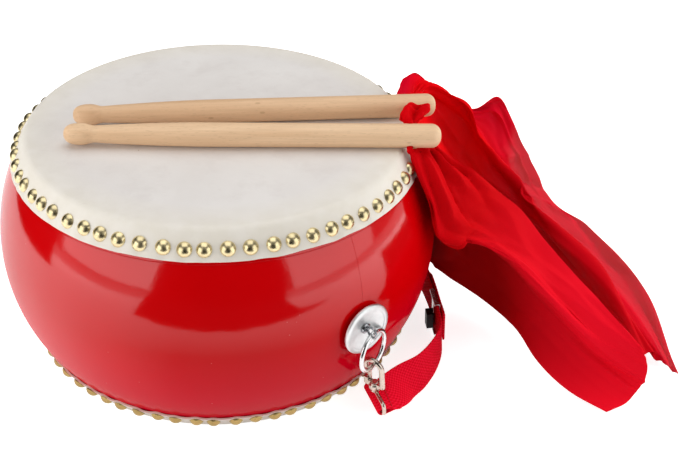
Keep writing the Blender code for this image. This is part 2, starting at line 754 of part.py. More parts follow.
def strap_stations():
    """Places along the strap from the front bar to half way round, and how far each leans from upright."""
    bar = bar_centre(FRONT_RING_ANGLE, 1)
    middle = math.radians((FRONT_RING_ANGLE + REAR_RING_ANGLE) / 2)
    across = bar_direction(FRONT_RING_ANGLE, 1)
    ahead = Vector((across.y, -across.x, 0.0)).normalized()
    top = bar + ahead.cross(across).normalized() * STRAP_TURN
    places = [top, top + ahead * STRAP_RUN_OUT]
    leans = [90.0, STRAP_RUN_OUT_LEAN]
    for x, y, z, lean in STRAP_HALF_ROUTE:
        places.append(Vector((x, y, z)) / 1000)
        leans.append(lean)
    mid_x = STRAP_MID_RADIUS * math.cos(middle)
    mid_y = STRAP_MID_RADIUS * math.sin(middle)
    places.append(Vector((mid_x, mid_y, STRAP_MID_HEIGHT)) / 1000)
    leans.append(0.0)
    return places, leans


def strap_centre_line():
    """Smooth centre line over the whole strap, with the width direction at each place."""
    places, leans = strap_stations()
    whole = places + [mirror_plan(p) for p in reversed(places[:-1])]
    lean_line = [Vector((value, 0.0)) for value in leans + leans[-2::-1]]
    length = sum((b - a).length for a, b in zip(whole, whole[1:]))
    count = round(length / STRAP_STEP)
    line = catmull_rom(whole, count)
    tilts = [v.x for v in catmull_rom(lean_line, count)]
    widths = []
    for i, tilt in enumerate(tilts):
        ahead = line[min(i + 1, count)] - line[max(i - 1, 0)]
        inward = Vector((-ahead.y, ahead.x, 0.0)).normalized()
        lean = math.radians(max(0.0, min(90.0, tilt)))
        widths.append(inward * math.sin(lean) + Vector((0.0, 0.0, math.cos(lean))))
    widths[0] = bar_direction(FRONT_RING_ANGLE, 1)
    widths[-1] = bar_direction(REAR_RING_ANGLE, -1)
    return line, widths


def strap_end(line, widths):
    """The sewn end: a tail beside the strap and a turn round the bar, from the tail's cut to the bar."""
    ahead = (line[1] - line[0]).normalized()
    face = ahead.cross(widths[0]).normalized()
    ahead = widths[0].cross(face).normalized()
    bar = line[0] - face * STRAP_TURN
    beside = STRAP_THICKNESS + RUNNING_GAP
    tail = []
    tail_widths = []
    travelled = 0.0
    for i in range(1, len(line) - 1):
        travelled += (line[i] - line[i - 1]).length
        if travelled > STRAP_TAIL:
            break
        along = (line[i + 1] - line[i - 1]).normalized()
        normal = along.cross(widths[i]).normalized()
        narrowing = max(0.0, 1 - travelled / STRAP_RUN_OUT)
        tail.append(line[i] - normal * (beside + narrowing * (2 * STRAP_TURN - beside)))
        tail_widths.append(widths[i])
    turn = []
    for across, up in arc((0.0, 0.0), STRAP_TURN, 0.0, math.pi, STRAP_TURN_STEPS):
        turn.append(bar - face * across - ahead * up)
    return list(reversed(tail)) + turn, list(reversed(tail_widths)) + [widths[0]] * len(turn)


def make_strap(material):
    line, widths = strap_centre_line()
    first, first_widths = strap_end(line, widths)
    back_line = list(reversed(line))
    back_widths = [-w for w in reversed(widths)]
    last, last_widths = strap_end(back_line, back_widths)
    places = first + line[1:-1] + list(reversed(last))
    across = first_widths + widths[1:-1] + [-w for w in reversed(last_widths)]
    mesh = bpy.data.meshes.new("strap")
    bm = bmesh.new()
    rails = []
    for place, width in zip(places, across):
        half = width * STRAP_WIDTH / 2
        rails.append((bm.verts.new(place - half), bm.verts.new(place + half)))
    for (a, b), (c, d) in zip(rails, rails[1:]):
        bm.faces.new((a, c, d, b))
    bm.to_mesh(mesh)
    bm.free()
    smooth(mesh, 60.0)
    strap = add_object("strap", mesh, material)
    thick = strap.modifiers.new("Thickness", "SOLIDIFY")
    thick.thickness = STRAP_THICKNESS
    thick.offset = 0.0
    return line, widths


def make_slider(line, widths, material):
    """A strap slider of two rails and three bars, which the strap weaves straight through."""
    travelled = 0.0
    index = 1
    while travelled < SLIDER_STATION:
        travelled += (line[index] - line[index - 1]).length
        index += 1
    along = (line[index + 1] - line[index - 1]).normalized()
    up = (widths[index] - along * widths[index].dot(along)).normalized()
    out = along.cross(up).normalized()
    frame = Matrix((along, out, up)).transposed().to_4x4()
    frame.translation = line[index]
    seat = add_empty("slider_seat", frame)
    room = STRAP_THICKNESS / 2 + RUNNING_GAP
    depth = 2 * (room + SLIDER_BAR)
    rail_at = STRAP_WIDTH / 2 + LOOP_SIDE_GAP
    span = 2 * (rail_at + SLIDER_RAIL)
    end_at = (SLIDER_LENGTH - SLIDER_BAR) / 2
    bar_at = room + SLIDER_BAR / 2
    rail = box_mesh("rail", SLIDER_LENGTH, depth, SLIDER_RAIL)
    upper = shift(0, 0, rail_at + SLIDER_RAIL / 2)
    lower = shift(0, 0, -rail_at - SLIDER_RAIL / 2)
    slider = add_object("strap_slider", rail.copy(), material, seat, upper)
    boolean(slider, add_object("lower_rail", rail, None, seat, lower), "UNION")
    bars = {"first_bar": (-end_at, bar_at), "middle_bar": (0.0, -bar_at), "last_bar": (end_at, bar_at)}
    for name, (x, y) in bars.items():
        bar = box_mesh(name, SLIDER_BAR, SLIDER_BAR, span)
        boolean(slider, add_object(name, bar, None, seat, shift(x, y, 0)), "UNION")


# Sticks

def stick_profile():
    """Radius against distance from the tip's end: a ball tip, a tapering neck and a round butt."""
    tip_middle = STICK_TIP_LENGTH - STICK_TIP_RADIUS
    points = [(0.0, 0.0)]
    for step in range(1, STICK_END_STEPS + 1):
        angle = math.pi / 2 * step / STICK_END_STEPS
        points.append((STICK_TIP_RADIUS * math.sin(angle), tip_middle * (1 - math.cos(angle))))
    neck_angle = math.acos(STICK_NECK_RADIUS / STICK_TIP_RADIUS)
    points.append((STICK_NECK_RADIUS, tip_middle + STICK_TIP_RADIUS * math.sin(neck_angle)))
    taper_end = STICK_TIP_LENGTH + STICK_TAPER_LENGTH
    points.append((STICK_SHOULDER_RADIUS, STICK_TIP_LENGTH + STICK_TAPER_LENGTH / 2))
    points.append((STICK_RADIUS, taper_end))
    butt_start = STICK_LENGTH - STICK_BUTT_ROUND
    for step in range(STICK_END_STEPS):
        angle = math.pi / 2 * step / STICK_END_STEPS
        points.append((STICK_RADIUS * math.cos(angle), butt_start + STICK_BUTT_ROUND * math.sin(angle)))
    points.append((0.0, STICK_LENGTH))
    return points


def stick_frame(side):
    """Z along the stick from its tip, X to the mouth of the hole that the scarf leaves by."""
    (x, y), heading, mouth = STICK_POSES[side]
    return shift(x, y, STICK_AXIS_HEIGHT) @ turn_z(heading) @ turn_y(90) @ turn_z(mouth_turn(mouth))


def mouth_turn(elevation):
    """Turn about the stick's axis that points its local X at an elevation on the viewer's side."""
    return -90.0 - elevation


def make_stick(side, material):
    profile = [(r, STICK_LENGTH - z) for r, z in reversed(stick_profile())]
    frame = stick_frame(side) @ shift(0, 0, STICK_LENGTH) @ turn_x(180)
    stick = turned(f"{side}_stick", profile, STICK_FACETS, material, None, frame)
    hole = cylinder_mesh("stick_hole", STICK_HOLE_RADIUS, CUT_OVERRUN * STICK_RADIUS, ROUND_FACETS)
    place = stick_frame(side) @ shift(0, 0, STICK_LENGTH - STICK_HOLE_FROM_BUTT) @ turn_y(90)
    boolean(stick, add_object(f"{side}_stick_hole", hole, None, None, place), "DIFFERENCE")


# Scarves

def fold_grid(folds):
    """Places on the cloth: smooth along each fold line, then smooth across them."""
    down = CLOTH_STEPS * (len(folds[0]) - 1)
    across = CLOTH_STEPS * (len(folds) - 1)
    lines = [catmull_rom([Vector(p) / 1000 for p in fold], down) for fold in folds]
    rows = []
    for i in range(down + 1):
        rows.append(catmull_rom([line[i] for line in lines], across))
    return rows


def make_scarf(side, folds, material):
    rows = fold_grid(folds)
    mesh = bpy.data.meshes.new(f"{side}_scarf")
    bm = bmesh.new()
    grid = [[bm.verts.new(place) for place in row] for row in rows]
    for upper, lower in zip(grid, grid[1:]):
        for a, b, c, d in zip(upper, upper[1:], lower[1:], lower):
            bm.faces.new((a, b, c, d))
    bm.to_mesh(mesh)
    bm.free()
    smooth(mesh, 80.0)
    scarf = add_object(f"{side}_scarf", mesh, material)
    thick = scarf.modifiers.new("Thickness", "SOLIDIFY")
    thick.thickness = CLOTH_THICKNESS
    thick.offset = 0.0
    make_tie(side, scarf, rows)


def make_tie(side, scarf, rows):
    """The gathered corner that passes the stick's hole and is knotted beyond it."""
    frame = stick_frame(side) @ shift(0, 0, STICK_LENGTH - STICK_HOLE_FROM_BUTT)
    knot = frame @ Vector((-STICK_RADIUS - CLOTH_KNOT_RADIUS - FIT_GAP, 0.0, 0.0))
    mouth = frame @ Vector((STICK_RADIUS + CLOTH_TIE_RADIUS, 0.0, 0.0))
    first = rows[0]
    into = rows[1][len(first) // 2]
    tie = wire_mesh("tie", [knot, mouth, (mouth + into) / 2, into], CLOTH_TIE_RADIUS, False, 1)
    boolean(scarf, add_object(f"{side}_tie", tie, None), "UNION")
    ball = bpy.data.meshes.new("knot")
    bm = bmesh.new()
    bmesh.ops.create_uvsphere(bm, u_segments=10, v_segments=8, radius=CLOTH_KNOT_RADIUS)
    bm.to_mesh(ball)
    bm.free()
    boolean(scarf, add_object(f"{side}_knot", ball, None, None, Matrix.Translation(knot)), "UNION")


def main():
    lacquer = make_material("red_lacquer", (0.56, 0.0, 0.01), 0.08)
    hide = make_material("natural_hide", (0.78, 0.74, 0.66), 0.6)
    brass = make_material("brass", (0.72, 0.56, 0.25), 0.2, 1.0)
    steel = make_material("plated_steel", (0.75, 0.75, 0.74), 0.3, 1.0)
    nickel = make_material("nickel", (0.74, 0.69, 0.62), 0.25, 1.0)
    webbing = make_material("red_webbing", (0.62, 0.0, 0.02), 0.8)
    plastic = make_material("black_plastic", (0.01, 0.01, 0.01), 0.25)
    beech = make_material("beech", (0.78, 0.58, 0.38), 0.5)
    chiffon = make_material("red_chiffon", (0.62, 0.0, 0.01), 0.6)
    make_staves(lacquer)
    make_heads(hide, brass)
    make_ring_pulls(steel, nickel)
    line, widths = make_strap(webbing)
    make_slider(line, widths, plastic)
    make_stick("front", beech)
    make_stick("rear", beech)
    make_scarf("front", FRONT_FOLDS, chiffon)
    make_scarf("rear", REAR_FOLDS, chiffon)


clear_scene()
PARTS = make_collection("hand_drum")
CUTTERS = make_collection("cutters")
main()
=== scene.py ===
"""Looks of the hand drum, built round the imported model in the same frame, in metres."""
import random
from math import asin, atan2, cos, degrees, exp, hypot, pi, radians, sin, sqrt

import bmesh
import bpy
from mathutils import Matrix, Vector, noise


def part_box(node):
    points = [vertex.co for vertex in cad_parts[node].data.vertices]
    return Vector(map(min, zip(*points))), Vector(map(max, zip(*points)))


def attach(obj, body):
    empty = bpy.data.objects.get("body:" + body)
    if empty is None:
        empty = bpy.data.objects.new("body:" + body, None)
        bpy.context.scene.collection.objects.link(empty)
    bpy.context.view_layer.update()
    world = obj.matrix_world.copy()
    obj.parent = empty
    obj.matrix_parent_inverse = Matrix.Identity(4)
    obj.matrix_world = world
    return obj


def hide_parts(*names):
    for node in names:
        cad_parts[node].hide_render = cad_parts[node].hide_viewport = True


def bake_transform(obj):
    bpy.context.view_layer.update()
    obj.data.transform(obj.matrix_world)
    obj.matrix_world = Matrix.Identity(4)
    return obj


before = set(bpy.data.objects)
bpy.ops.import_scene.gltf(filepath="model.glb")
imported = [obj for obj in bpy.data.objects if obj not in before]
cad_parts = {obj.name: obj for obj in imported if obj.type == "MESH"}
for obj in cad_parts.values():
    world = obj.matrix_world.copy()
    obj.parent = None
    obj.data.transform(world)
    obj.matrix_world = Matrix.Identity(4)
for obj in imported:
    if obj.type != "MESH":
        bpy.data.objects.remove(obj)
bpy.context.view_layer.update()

# Camera
CAMERA_EYE = (0.0, -0.6132, 0.4878)
CAMERA_RIGHT = (0.9929, -0.1147, 0.0304)
CAMERA_UP = (0.0407, 0.5702, 0.8205)
CAMERA_LENS = 55.27
SENSOR_WIDTH = 36.0
CLIP_START = 0.01

# Edges bent more than this are drawn sharp
SHARP_ANGLE = 40.0
WEBBING_SHARP_ANGLE = 60.0
CLOTH_SHARP_ANGLE = 80.0

# Barrel
CENTRE_HEIGHT = 0.07725
HALF_SHELL = 0.07575
MERIDIAN_CENTRE = 0.0236
MERIDIAN_RADIUS = 0.125
SHELL_WALL = 0.010
SHELL_FACETS = 240
SHELL_STEPS = 60
SHELL_INNER_STRIDE = 6
SHELL_END_HEIGHT = 0.0715
SHELL_END_INSET = 0.0035
SHELL_SKIN = 0.005
SHELL_RIPPLE = 0.00022
RIPPLE_AROUND = 3.0
RIPPLE_DOWN = 22.0
SEAM_ANGLE = -55.8
SEAM_HALF_WIDTH = 0.00013
SEAM_DEPTH = 0.00016
STAVE_COUNT = 16

# Heads and tacks
HIDE_OUTER = 0.0015
HIDE_INNER = 0.0003
HIDE_FACETS = 520
HIDE_EDGE_HEIGHT = 0.0610
SCRIBE_HEIGHT = 0.0588
SCRIBE_LINE = ((0.0006, 0.0), (0.0002, 0.0), (0.0, 0.0002), (-0.0002, 0.0), (-0.0006, 0.0))
LOWER_HIDE_EDGE_HEIGHT = 0.0628
HEAD_RINGS = (0.02, 0.045, 0.07, 0.09, 0.105, 0.115)
HEAD_INNER_RING = 0.06
HEAD_FLAT_MARGIN = 0.001
BEARING_EDGE_RADIUS = 0.004
RAGGED_SCALE = 9.0
RAGGED_SHIFT = 4.0
RAGGED_DROP = 0.0008
RAGGED_LIFT = 0.00015
PINCH_WIDTH = 0.0032
PINCH_DROP = 0.0004
PINCH_LIFT = 0.00035
TACK_ROW_HEIGHT = 0.0672
TACK_CIRCLE_RADIUS = 0.131
TACK_COUNT = 65
TACK_PHASE = -88.8
TACK_JITTER = 0.5
TACK_RADIUS = 0.00455
TACK_CROWN = 0.0029
LOWER_TACK_RADIUS = 0.0044
LOWER_TACK_CROWN = 0.0026
TACK_LIP = 0.0004
TACK_UNDERCUT = 0.0001
TACK_SEAT = 0.0002
TACK_WOBBLE = 4
TACK_RISE = 0.0004
DOME_STEPS = 8
TACK_SEEDS = {"top": 11, "bottom": 23}

# Ring pulls
RING_ANGLES = {"front": (-55.5, 1), "rear": (124.5, -1)}
BELLY_RADIUS = 0.1486
PLATE_HEIGHT = 0.0755
PLATE_THICKNESS = 0.0010
PLATE_SEAT = 0.0003
PLATE_LINE = [
    (0.0026, 0.0013), (0.0063, 0.0016), (0.0097, 0.0022), (0.0126, 0.0028), (0.0138, 0.0031),
    (0.01395, 0.0034), (0.0143, 0.0035), (0.0155, 0.0034), (0.0167, 0.0032), (0.0172, 0.0029),
    (0.0174, 0.0025),
]
PLATE_BACK_BORE = (0.0026, 0.0003)
PLATE_EDGE_INSET = 0.0001
PIN_WIRE = 0.0017
PIN_LEG = 0.00135
PIN_LEG_LINE = [(-0.0120, 0.0113), (-0.0120, 0.0045), (-0.0112, PIN_LEG), (-0.002, PIN_LEG)]
EYE_COLLAR_LINE = [(0.0, 0.0018), (0.0036, 0.0018), (0.0036, 0.0023), (0.0029, 0.0030), (0.0, 0.0030)]
EYE_REACH = 0.0075
EYE_HOLE_RADIUS = 0.0027
RING_RADIUS = 0.0134
RING_WIRE = 0.0032
RING_YAW = 10.0
RING_TURNS = {"front": 6.0, "rear": 0.0}
HANG_TILT = 8.0
RING_DROP = 0.00195

# Snap hooks, in the hook's own frame
THROAT_RADIUS = 0.0046
THROAT_CENTRE = -0.00235
HOOK_LIMB = 0.0034
LIMB_ALLOWANCE = 0.0001
SPINE_SINK = 0.0010
SPINE_STRAIGHT = 0.004
NOSE_DROP = 0.0024
NOSE_LENGTH = 0.0040
COLLAR_TOP = -0.01735
COLLAR_BASE = -0.02135
COLLAR_RADIUS = 0.0037
COLLAR_FACE_RADIUS = 0.0030
COLLAR_CROWN = 0.0004
COLLAR_ROUND = 0.0006
YOKE_SHOULDER = 0.0078
YOKE_FOOT = 0.0034
YOKE_DEPTH = 0.0034
YOKE_TOP = 0.0012
YOKE_DROP = 0.0032
STEM_RADIUS = 0.0020
STEM_HEAD_RADIUS = 0.0029
STEM_HEAD_RISE = 0.0015
STEM_HEAD_CHAMFER = (0.0007, 0.0006)
STEM_SEAT = 0.0003
STEM_FOOT_RADIUS = 0.0031
STEM_FOOT_RISE = (0.0012, 0.0002)
GATE_PIVOT = (-0.00535, -0.01415)
GATE_HUB_RADIUS = 0.0013
GATE_WIDTH = 0.0019
GATE_DEPTH = 0.0020
GATE_FOOT = 0.0006
GATE_CLEAR = 0.0003
GATE_OVERLAP = 0.0026
LUG_SINK = 0.002
CHEEK_WIDTH = 0.0034
CHEEK_DEPTH = 0.0011
CHEEK_AT = 0.00186
RIVET_LINE = [
    (0.0, 0.0024), (0.0005, 0.0024), (0.0006, 0.0022), (0.0006, -0.0022), (0.0005, -0.0024), (0.0, -0.0024),
]
LOOP_WIRE = 0.0026
LOOP_TOP = -0.02345
LOOP_DEPTH = 0.0090
LOOP_HALF = 0.0148
LOOP_CORNER = 0.0021
LOOP_YAW = -30.0
BAR_DROP = 0.03245

# Castings: voxel size, rounds of smoothing, share of the faces kept
CAST_SOFTNESS = 0.5
CASTINGS = {
    "hook": (0.00022, 5, 0.45),
    "gate": (0.00018, 3, 0.4),
    "loop": (0.00025, 3, 0.5),
    "slider_frame": (0.00022, 3, 0.5),
    "slider_grip": (0.00025, 6, 0.5),
}

# Strap and slider; a route point is x, y, z in millimetres and the strap's lean in degrees
STRAP_WIDTH = 0.025
STRAP_THICKNESS = 0.0015
STRAP_TURN = 0.00265
STRAP_TAIL = 0.0125
STRAP_RUN_OUT = 0.011
STRAP_RUN_OUT_LEAN = 64.0
STRAP_STEP = 0.00045
STRAP_SAMPLES = 3000
STRAP_BLEND_REACH = 0.085
STRAP_LAYER_GAP = 0.0003
STRAP_RIB_PITCH = 0.0031
STRAP_WALE_PITCH = 0.0024
STRAP_RIB = 0.00009
SELVEDGE = 0.0010
SELVEDGE_ROUND = 0.0003
SELVEDGE_SHARE = 0.7
STITCH_ROW = 0.0070
STITCHES = 8
STITCH_PITCH = 0.0028
STITCH_HALF = 0.00105
STITCH_BULGE = 0.00022
STITCH_SEAT = 0.00005
THREAD_RADIUS = 0.00028
SLIDER_LENGTH = 0.018
SLIDER_BAR = 0.0018
SLIDER_BAR_DEPTH = 0.0007
SLIDER_CLEAR = 0.0007
SLIDER_ROOM = 0.0005
SLIDER_RAIL = (0.0040, 0.0014)
SLIDER_RAIL_INSET = 0.0004
SLIDER_INNER_BAR = (0.0040, 0.0010)
SLIDER_INNER_AT = -0.0010
GRIP_SIZE = (0.0070, 0.0050, 0.0135)
GRIP_AT = -0.0030
GRIP_RISE = 0.0112
TAIL_SPAN = (0.0935, 0.148)
TAIL_RISE = (0.074, 0.079, 0.137, 0.142)
TAIL_OFFSET = 0.0017
TAIL_LIFT = 0.0013
STRAP_HALF_ROUTE = [
    (118.0, -106.0, 12.9, 37.0),
    (130.0, -96.5, 12.9, 20.0),
    (140.5, -83.0, 12.9, 12.0),
    (147.9, -69.0, 14.2, 6.0),
    (149.9, -57.0, 15.2, 4.0),
    (149.85, -38.8, 15.7, 4.0),
    (149.7, -20.0, 16.2, 4.0),
    (148.4, 4.0, 15.9, 2.0),
    (146.0, 31.0, 14.2, 0.0),
    (137.0, 61.0, 13.4, 0.0),
]
STRAP_MID = (150.0, 13.3)

# Sticks
STICK_LENGTH = 0.238
STICK_RADIUS = 0.0077
STICK_AXIS_HEIGHT = 0.1625
STICK_POSES = {
    "front": ((-0.0965, -0.0243), -4.1, -50.0),
    "rear": ((-0.0929, 0.0000), 0.2, 190.0),
}
STICK_HOLE_RADIUS = 0.0030
STICK_HOLE_FROM_BUTT = 0.020
STICK_HOLE_REACH = 0.02
STICK_BUTT_ROUND = 0.0062
STICK_HEAD_LINE = [
    (0.0, 0.0), (0.0030, 0.0006), (0.0052, 0.0026), (0.0065, 0.0060), (0.0069, 0.0105), (0.0066, 0.0138),
    (0.0058, 0.0166), (0.0054, 0.0186), (0.0055, 0.0215), (0.0059, 0.0290), (0.0065, 0.0420),
    (0.0071, 0.0570), (0.0075, 0.0710), (0.0077, 0.0830),
]

# Scarves: fold lines from the stick to the hem, in millimetres; the petal is the end drawn through the stick
FRONT_FOLDS = [
    [(139, -38, 154), (145, -40, 148), (153, -38, 141), (164, -38, 133), (176, -38, 123), (188, -38, 113),
     (204, -40, 100), (218, -50, 84), (235, -72, 70), (255, -96, 54), (273, -116, 40)],
    [(135, -38.5, 154), (140, -46, 146), (148, -48, 137), (157, -50, 125), (167, -51, 113), (177, -52, 105),
     (194, -55, 92), (210, -64, 76), (228, -82, 64), (251, -102, 47), (276, -118, 33)],
    [(128, -40.5, 154), (134, -51, 146), (140, -58, 134), (148, -62, 118), (158, -62, 105), (168, -60, 100),
     (183, -63, 91), (200, -72, 79), (220, -88, 59), (247, -106, 39), (278, -119, 25)],
    [(119.5, -46, 157), (125, -56, 145), (132, -66, 128), (138, -70, 105), (151, -72, 98), (159, -68, 99),
     (173, -70, 94), (191, -76, 85), (211, -88, 69), (241, -106, 40), (277, -121, 16)],
    [(122, -44, 154), (128, -52, 143), (136, -62, 126), (143, -65, 103), (154, -66, 95), (162, -63, 96),
     (175, -64, 89), (192, -70, 78), (212, -84, 61), (241, -105, 34), (275, -123, 13)],
    [(127, -44, 153), (134, -42, 136), (145, -38, 111), (156, -32, 84), (166, -28, 72), (174, -28, 72),
     (187, -36, 67), (199, -52, 59), (217, -74, 46), (243, -100, 26), (272, -125, 10)],
    [(131, -42, 152), (140, -38, 131), (149, -30, 102), (159, -24, 64), (170, -22, 51), (180, -26, 46),
     (193, -38, 39), (203, -56, 36), (217, -78, 27), (238, -106, 14), (263, -131, 6)],
    [(136, -41, 151), (145, -34, 125), (150, -4, 78), (149, 8, 36), (162, -12, 30), (176, -22, 22),
     (193, -44, 18), (202, -68, 20), (212, -98, 13), (228, -118, 6), (248, -136, 3)],
]
REAR_FOLDS = [
    [(133, 9, 151), (131, -10, 151), (138, -20, 141), (158, -6, 108), (183, 8, 78), (202, 2, 62),
     (219, -12, 52), (234, -30, 40), (253, -54, 27), (269, -76, 17), (282, -98, 20)],
    [(139, 20, 157), (148, 27, 146), (159, 31, 128), (172, 31, 109), (186, 25, 95), (199, 17, 84),
     (214, 4, 71), (228, -14, 63), (244, -42, 56), (265, -68, 40), (287, -96, 16)],
    [(136, 21, 158), (147, 30, 161), (162, 31, 154), (176, 28, 144), (187, 22, 122), (200, 16, 108),
     (218, 10, 93), (222, 0, 82), (239, -22, 72), (265, -53, 54), (294, -92, 14)],
    [(132, 22, 158), (143, 37, 163), (160, 42, 150), (176, 41, 138), (188, 36, 116), (201, 30, 95),
     (218, 24, 79), (224, 12, 67), (244, -10, 54), (271, -44, 36), (301, -92, 6)],
    [(127, 22, 158), (137, 39, 169), (155, 46, 152), (182, 50, 130), (201, 50, 124), (215, 46, 101),
     (229, 40, 76), (241, 30, 58), (263, 4, 44), (291, -38, 25), (306, -98, 4)],
    [(122, 22, 158), (129, 37, 160), (151, 46, 152), (185, 52, 131), (205, 54, 139), (221, 52, 114),
     (236, 47, 85), (252, 38, 59), (280, 12, 44), (307, -36, 25), (311, -103, 3)],
]
PETAL_FOLDS = [
    [(119, -33.5, 167), (117, -31, 168), (115.5, -30, 168.5)],
    [(120.5, -33.5, 167), (119, -27, 172), (119, -22, 172)],
    [(122, -33.5, 167), (122, -25, 173), (124, -17, 174)],
    [(123, -33.5, 167), (127, -22, 167), (130, -15, 171)],
    [(124.5, -33.5, 167), (131, -23, 171), (137, -15, 172)],
    [(125.5, -33.5, 167), (132, -27, 172), (137.5, -20, 170.5)],
    [(126, -33.5, 166.5), (129, -31, 169.5), (133, -28, 170.5)],
]
# Single creases across and down a scarf: where each starts and ends, then its height and half width
FRONT_CREASES = [
    ((0.165, 0.02), (0.185, 0.26), 0.0038, 0.018),
    ((0.180, 0.12), (0.265, 0.46), 0.0044, 0.020),
    ((0.31, 0.03), (0.31, 0.42), -0.0042, 0.030),
    ((0.10, 0.03), (0.13, 0.34), -0.0024, 0.020),
    ((0.36, 0.55), (0.30, 0.95), -0.0022, 0.040),
]
REAR_CREASES = [
    ((0.30, 0.04), (0.33, 0.50), -0.0030, 0.020),
    ((0.44, 0.05), (0.50, 0.62), 0.0026, 0.016),
    ((0.72, 0.10), (0.66, 0.70), -0.0034, 0.022),
    ((0.88, 0.20), (0.84, 0.80), 0.0024, 0.016),
    ((0.58, 0.55), (0.72, 0.98), 0.0024, 0.018),
    ((0.22, 0.40), (0.30, 0.95), 0.0022, 0.020),
    ((0.60, 0.47), (1.08, 0.60), 0.0034, 0.050),
    ((0.60, 0.54), (1.08, 0.70), -0.0032, 0.050),
    ((0.60, 0.60), (1.08, 0.82), 0.0034, 0.045),
    ((0.62, 0.68), (1.06, 0.94), -0.0030, 0.045),
    ((0.70, 0.20), (1.08, 0.34), -0.0026, 0.060),
]
# Single layers of the rear scarf: spans across and down, and how dense the cloth is there
REAR_THIN = [
    ((0.74, 1.02), (0.48, 1.05), 0.87),
    ((0.52, 0.72), (0.57, 0.66), 0.80),
    ((0.34, 0.56), (0.20, 0.42), 0.90),
]
# Gathers: the noise's seed, the count of pleats and their depth
FRONT_GATHER = (3.0, 9, 0.0030)
REAR_GATHER = (9.0, 7, 0.0028)
PETAL_GATHER = (5.0, 4, 0.0005)
FRONT_FACETS = 0.0022
REAR_FACETS = 0.0040
CLOTH_ROWS = 110
CLOTH_COLUMNS = 90
CLOTH_THICKNESS = 0.0005
HEM_WIDTH = 0.0035
HEM_EXTRA = 0.8
GATHER_START = 0.06
GATHER_FADE = (0.12, 0.6)
GATHER_LOSS = 0.9
PLEAT_POWER = 0.8
PLEAT_LEAST = 0.4
DRIFT = 1.2
SLOW_WAVE = 0.003
SLOW_WAVE_START = (0.1, 0.5)
FACET_EDGE = 2.4
FACET_LEVEL = 0.6
FACET_START = (0.05, 0.25)
CREASE_POWER = 1.4
CREASE_START = 0.12
CREASE_FADE = 0.6
CLOTH_ROOM = 0.0022
STRAP_RING = 0.1500
STRAP_ROOM = 0.0045
STRAP_CLEAR_HEIGHT = 0.0325
STICK_ROOM = 0.0007
PETAL_GRID = (20, 42)
TIE_RADIUS = 0.0021
TIE_MOUTH = 0.0012
TIE_END = 0.002
TIE_COLUMN = 0.43
KNOT_RADIUS = 0.0034
KNOT_SINK = 0.0015
KNOT_CREASE = 0.14
KNOT_CREASES = 5
KNOT_TWIST = 300

# Stage: each light's azimuth, elevation, distance, width, height, watts and whether reflections show it
FLOOR_HALF = 6
FLOOR_DROP = 0.0004
FLOOR_WHITE = 0.78
FLOOR_GLOW = 0.6
WORLD_STRENGTH = 0.14
LIGHT_TARGET = (0.0, 0.0, 0.08)
LIGHTS = {
    "left_softbox": (-56, 20, 1.235, 1.2, 0.8, 5.3, True),
    "right_softbox": (54, 20, 1.15, 1.0, 0.8, 3.6, True),
    "top_softbox": (180, 80, 1.5, 1.8, 1.8, 13.6, True),
    "left_fill": (-76, 18, 1.2, 1.0, 0.8, 5.2, False),
    "right_fill": (100, 18, 1.2, 1.0, 0.8, 8.0, False),
}
FRONT_CARD_Y = -0.40
FRONT_CARD_LINE = [
    (-0.31, 0.0), (-0.235, 0.12), (-0.20, 0.236), (-0.20, 0.36), (0.19, 0.36), (0.187, 0.2), (0.179, 0.076),
    (0.227, 0.027), (0.388, 0.0),
]
CARDS = {
    "front_card": [(x, FRONT_CARD_Y, z) for x, z in FRONT_CARD_LINE],
    "left_card": [(-0.62, -0.10, 0.0), (-0.62, 0.6, 0.0), (-0.62, 0.6, 0.6), (-0.62, -0.10, 0.6)],
    # The card on the floor right of the drum darkens the floor only in reflections: painted shade of the
    # floor beside the drum and scarves.
    "floor_shade_card": [(0.16, -0.09, 0.0008), (0.9, -0.20, 0.0008), (0.9, 0.5, 0.0008), (0.16, 0.3, 0.0008)],
}


# Plain helpers

def turn(angle, axis):
    return Matrix.Rotation(radians(angle), 4, axis)


def shift(x, y, z):
    return Matrix.Translation((x, y, z))


def smoothstep(low, high, value):
    t = max(0.0, min(1.0, (value - low) / (high - low)))
    return t * t * (3 - 2 * t)


def chord(points, i, reach=1):
    """The step between a point's neighbours on either side, or from the point itself at an end."""
    return points[min(i + reach, len(points) - 1)] - points[max(i - reach, 0)]


def squared(vector, along):
    """The vector's share at right angles to a direction, at unit length."""
    return (vector - along * vector.dot(along)).normalized()


def arc(centre, radius, start, end, count):
    points = []
    for i in range(count + 1):
        angle = start + (end - start) * i / count
        points.append((centre[0] + radius * cos(angle), centre[1] + radius * sin(angle)))
    return points


def catmull_rom(points, count):
    padded = [2 * points[0] - points[1], *points, 2 * points[-1] - points[-2]]
    spans = len(points) - 1
    places = []
    for i in range(count + 1):
        position = spans * i / count
        k = min(int(position), spans - 1)
        t = position - k
        a, b, c, d = padded[k:k + 4]
        places.append(0.5 * (2 * b + (c - a) * t + (2 * a - 5 * b + 4 * c - d) * t ** 2
                             + (3 * b - a - 3 * c + d) * t ** 3))
    return places


def new_object(name, data):
    obj = bpy.data.objects.new(name, data)
    bpy.context.scene.collection.objects.link(obj)
    return obj


def make_mesh(name, vertices, faces, angle=SHARP_ANGLE):
    mesh = bpy.data.meshes.new(name)
    mesh.from_pydata([tuple(v) for v in vertices], [], faces)
    bm = bmesh.new()
    bm.from_mesh(mesh)
    bmesh.ops.recalc_face_normals(bm, faces=bm.faces)
    bm.to_mesh(mesh)
    bm.free()
    mesh.shade_smooth()
    mesh.set_sharp_from_angle(angle=radians(angle))
    return mesh


def map_mesh(mesh, name, place):
    """A UV map that takes each corner's place from its vertex's index."""
    layer = mesh.uv_layers.new(name=name)
    for loop in mesh.loops:
        layer.data[loop.index].uv = place(loop.vertex_index)


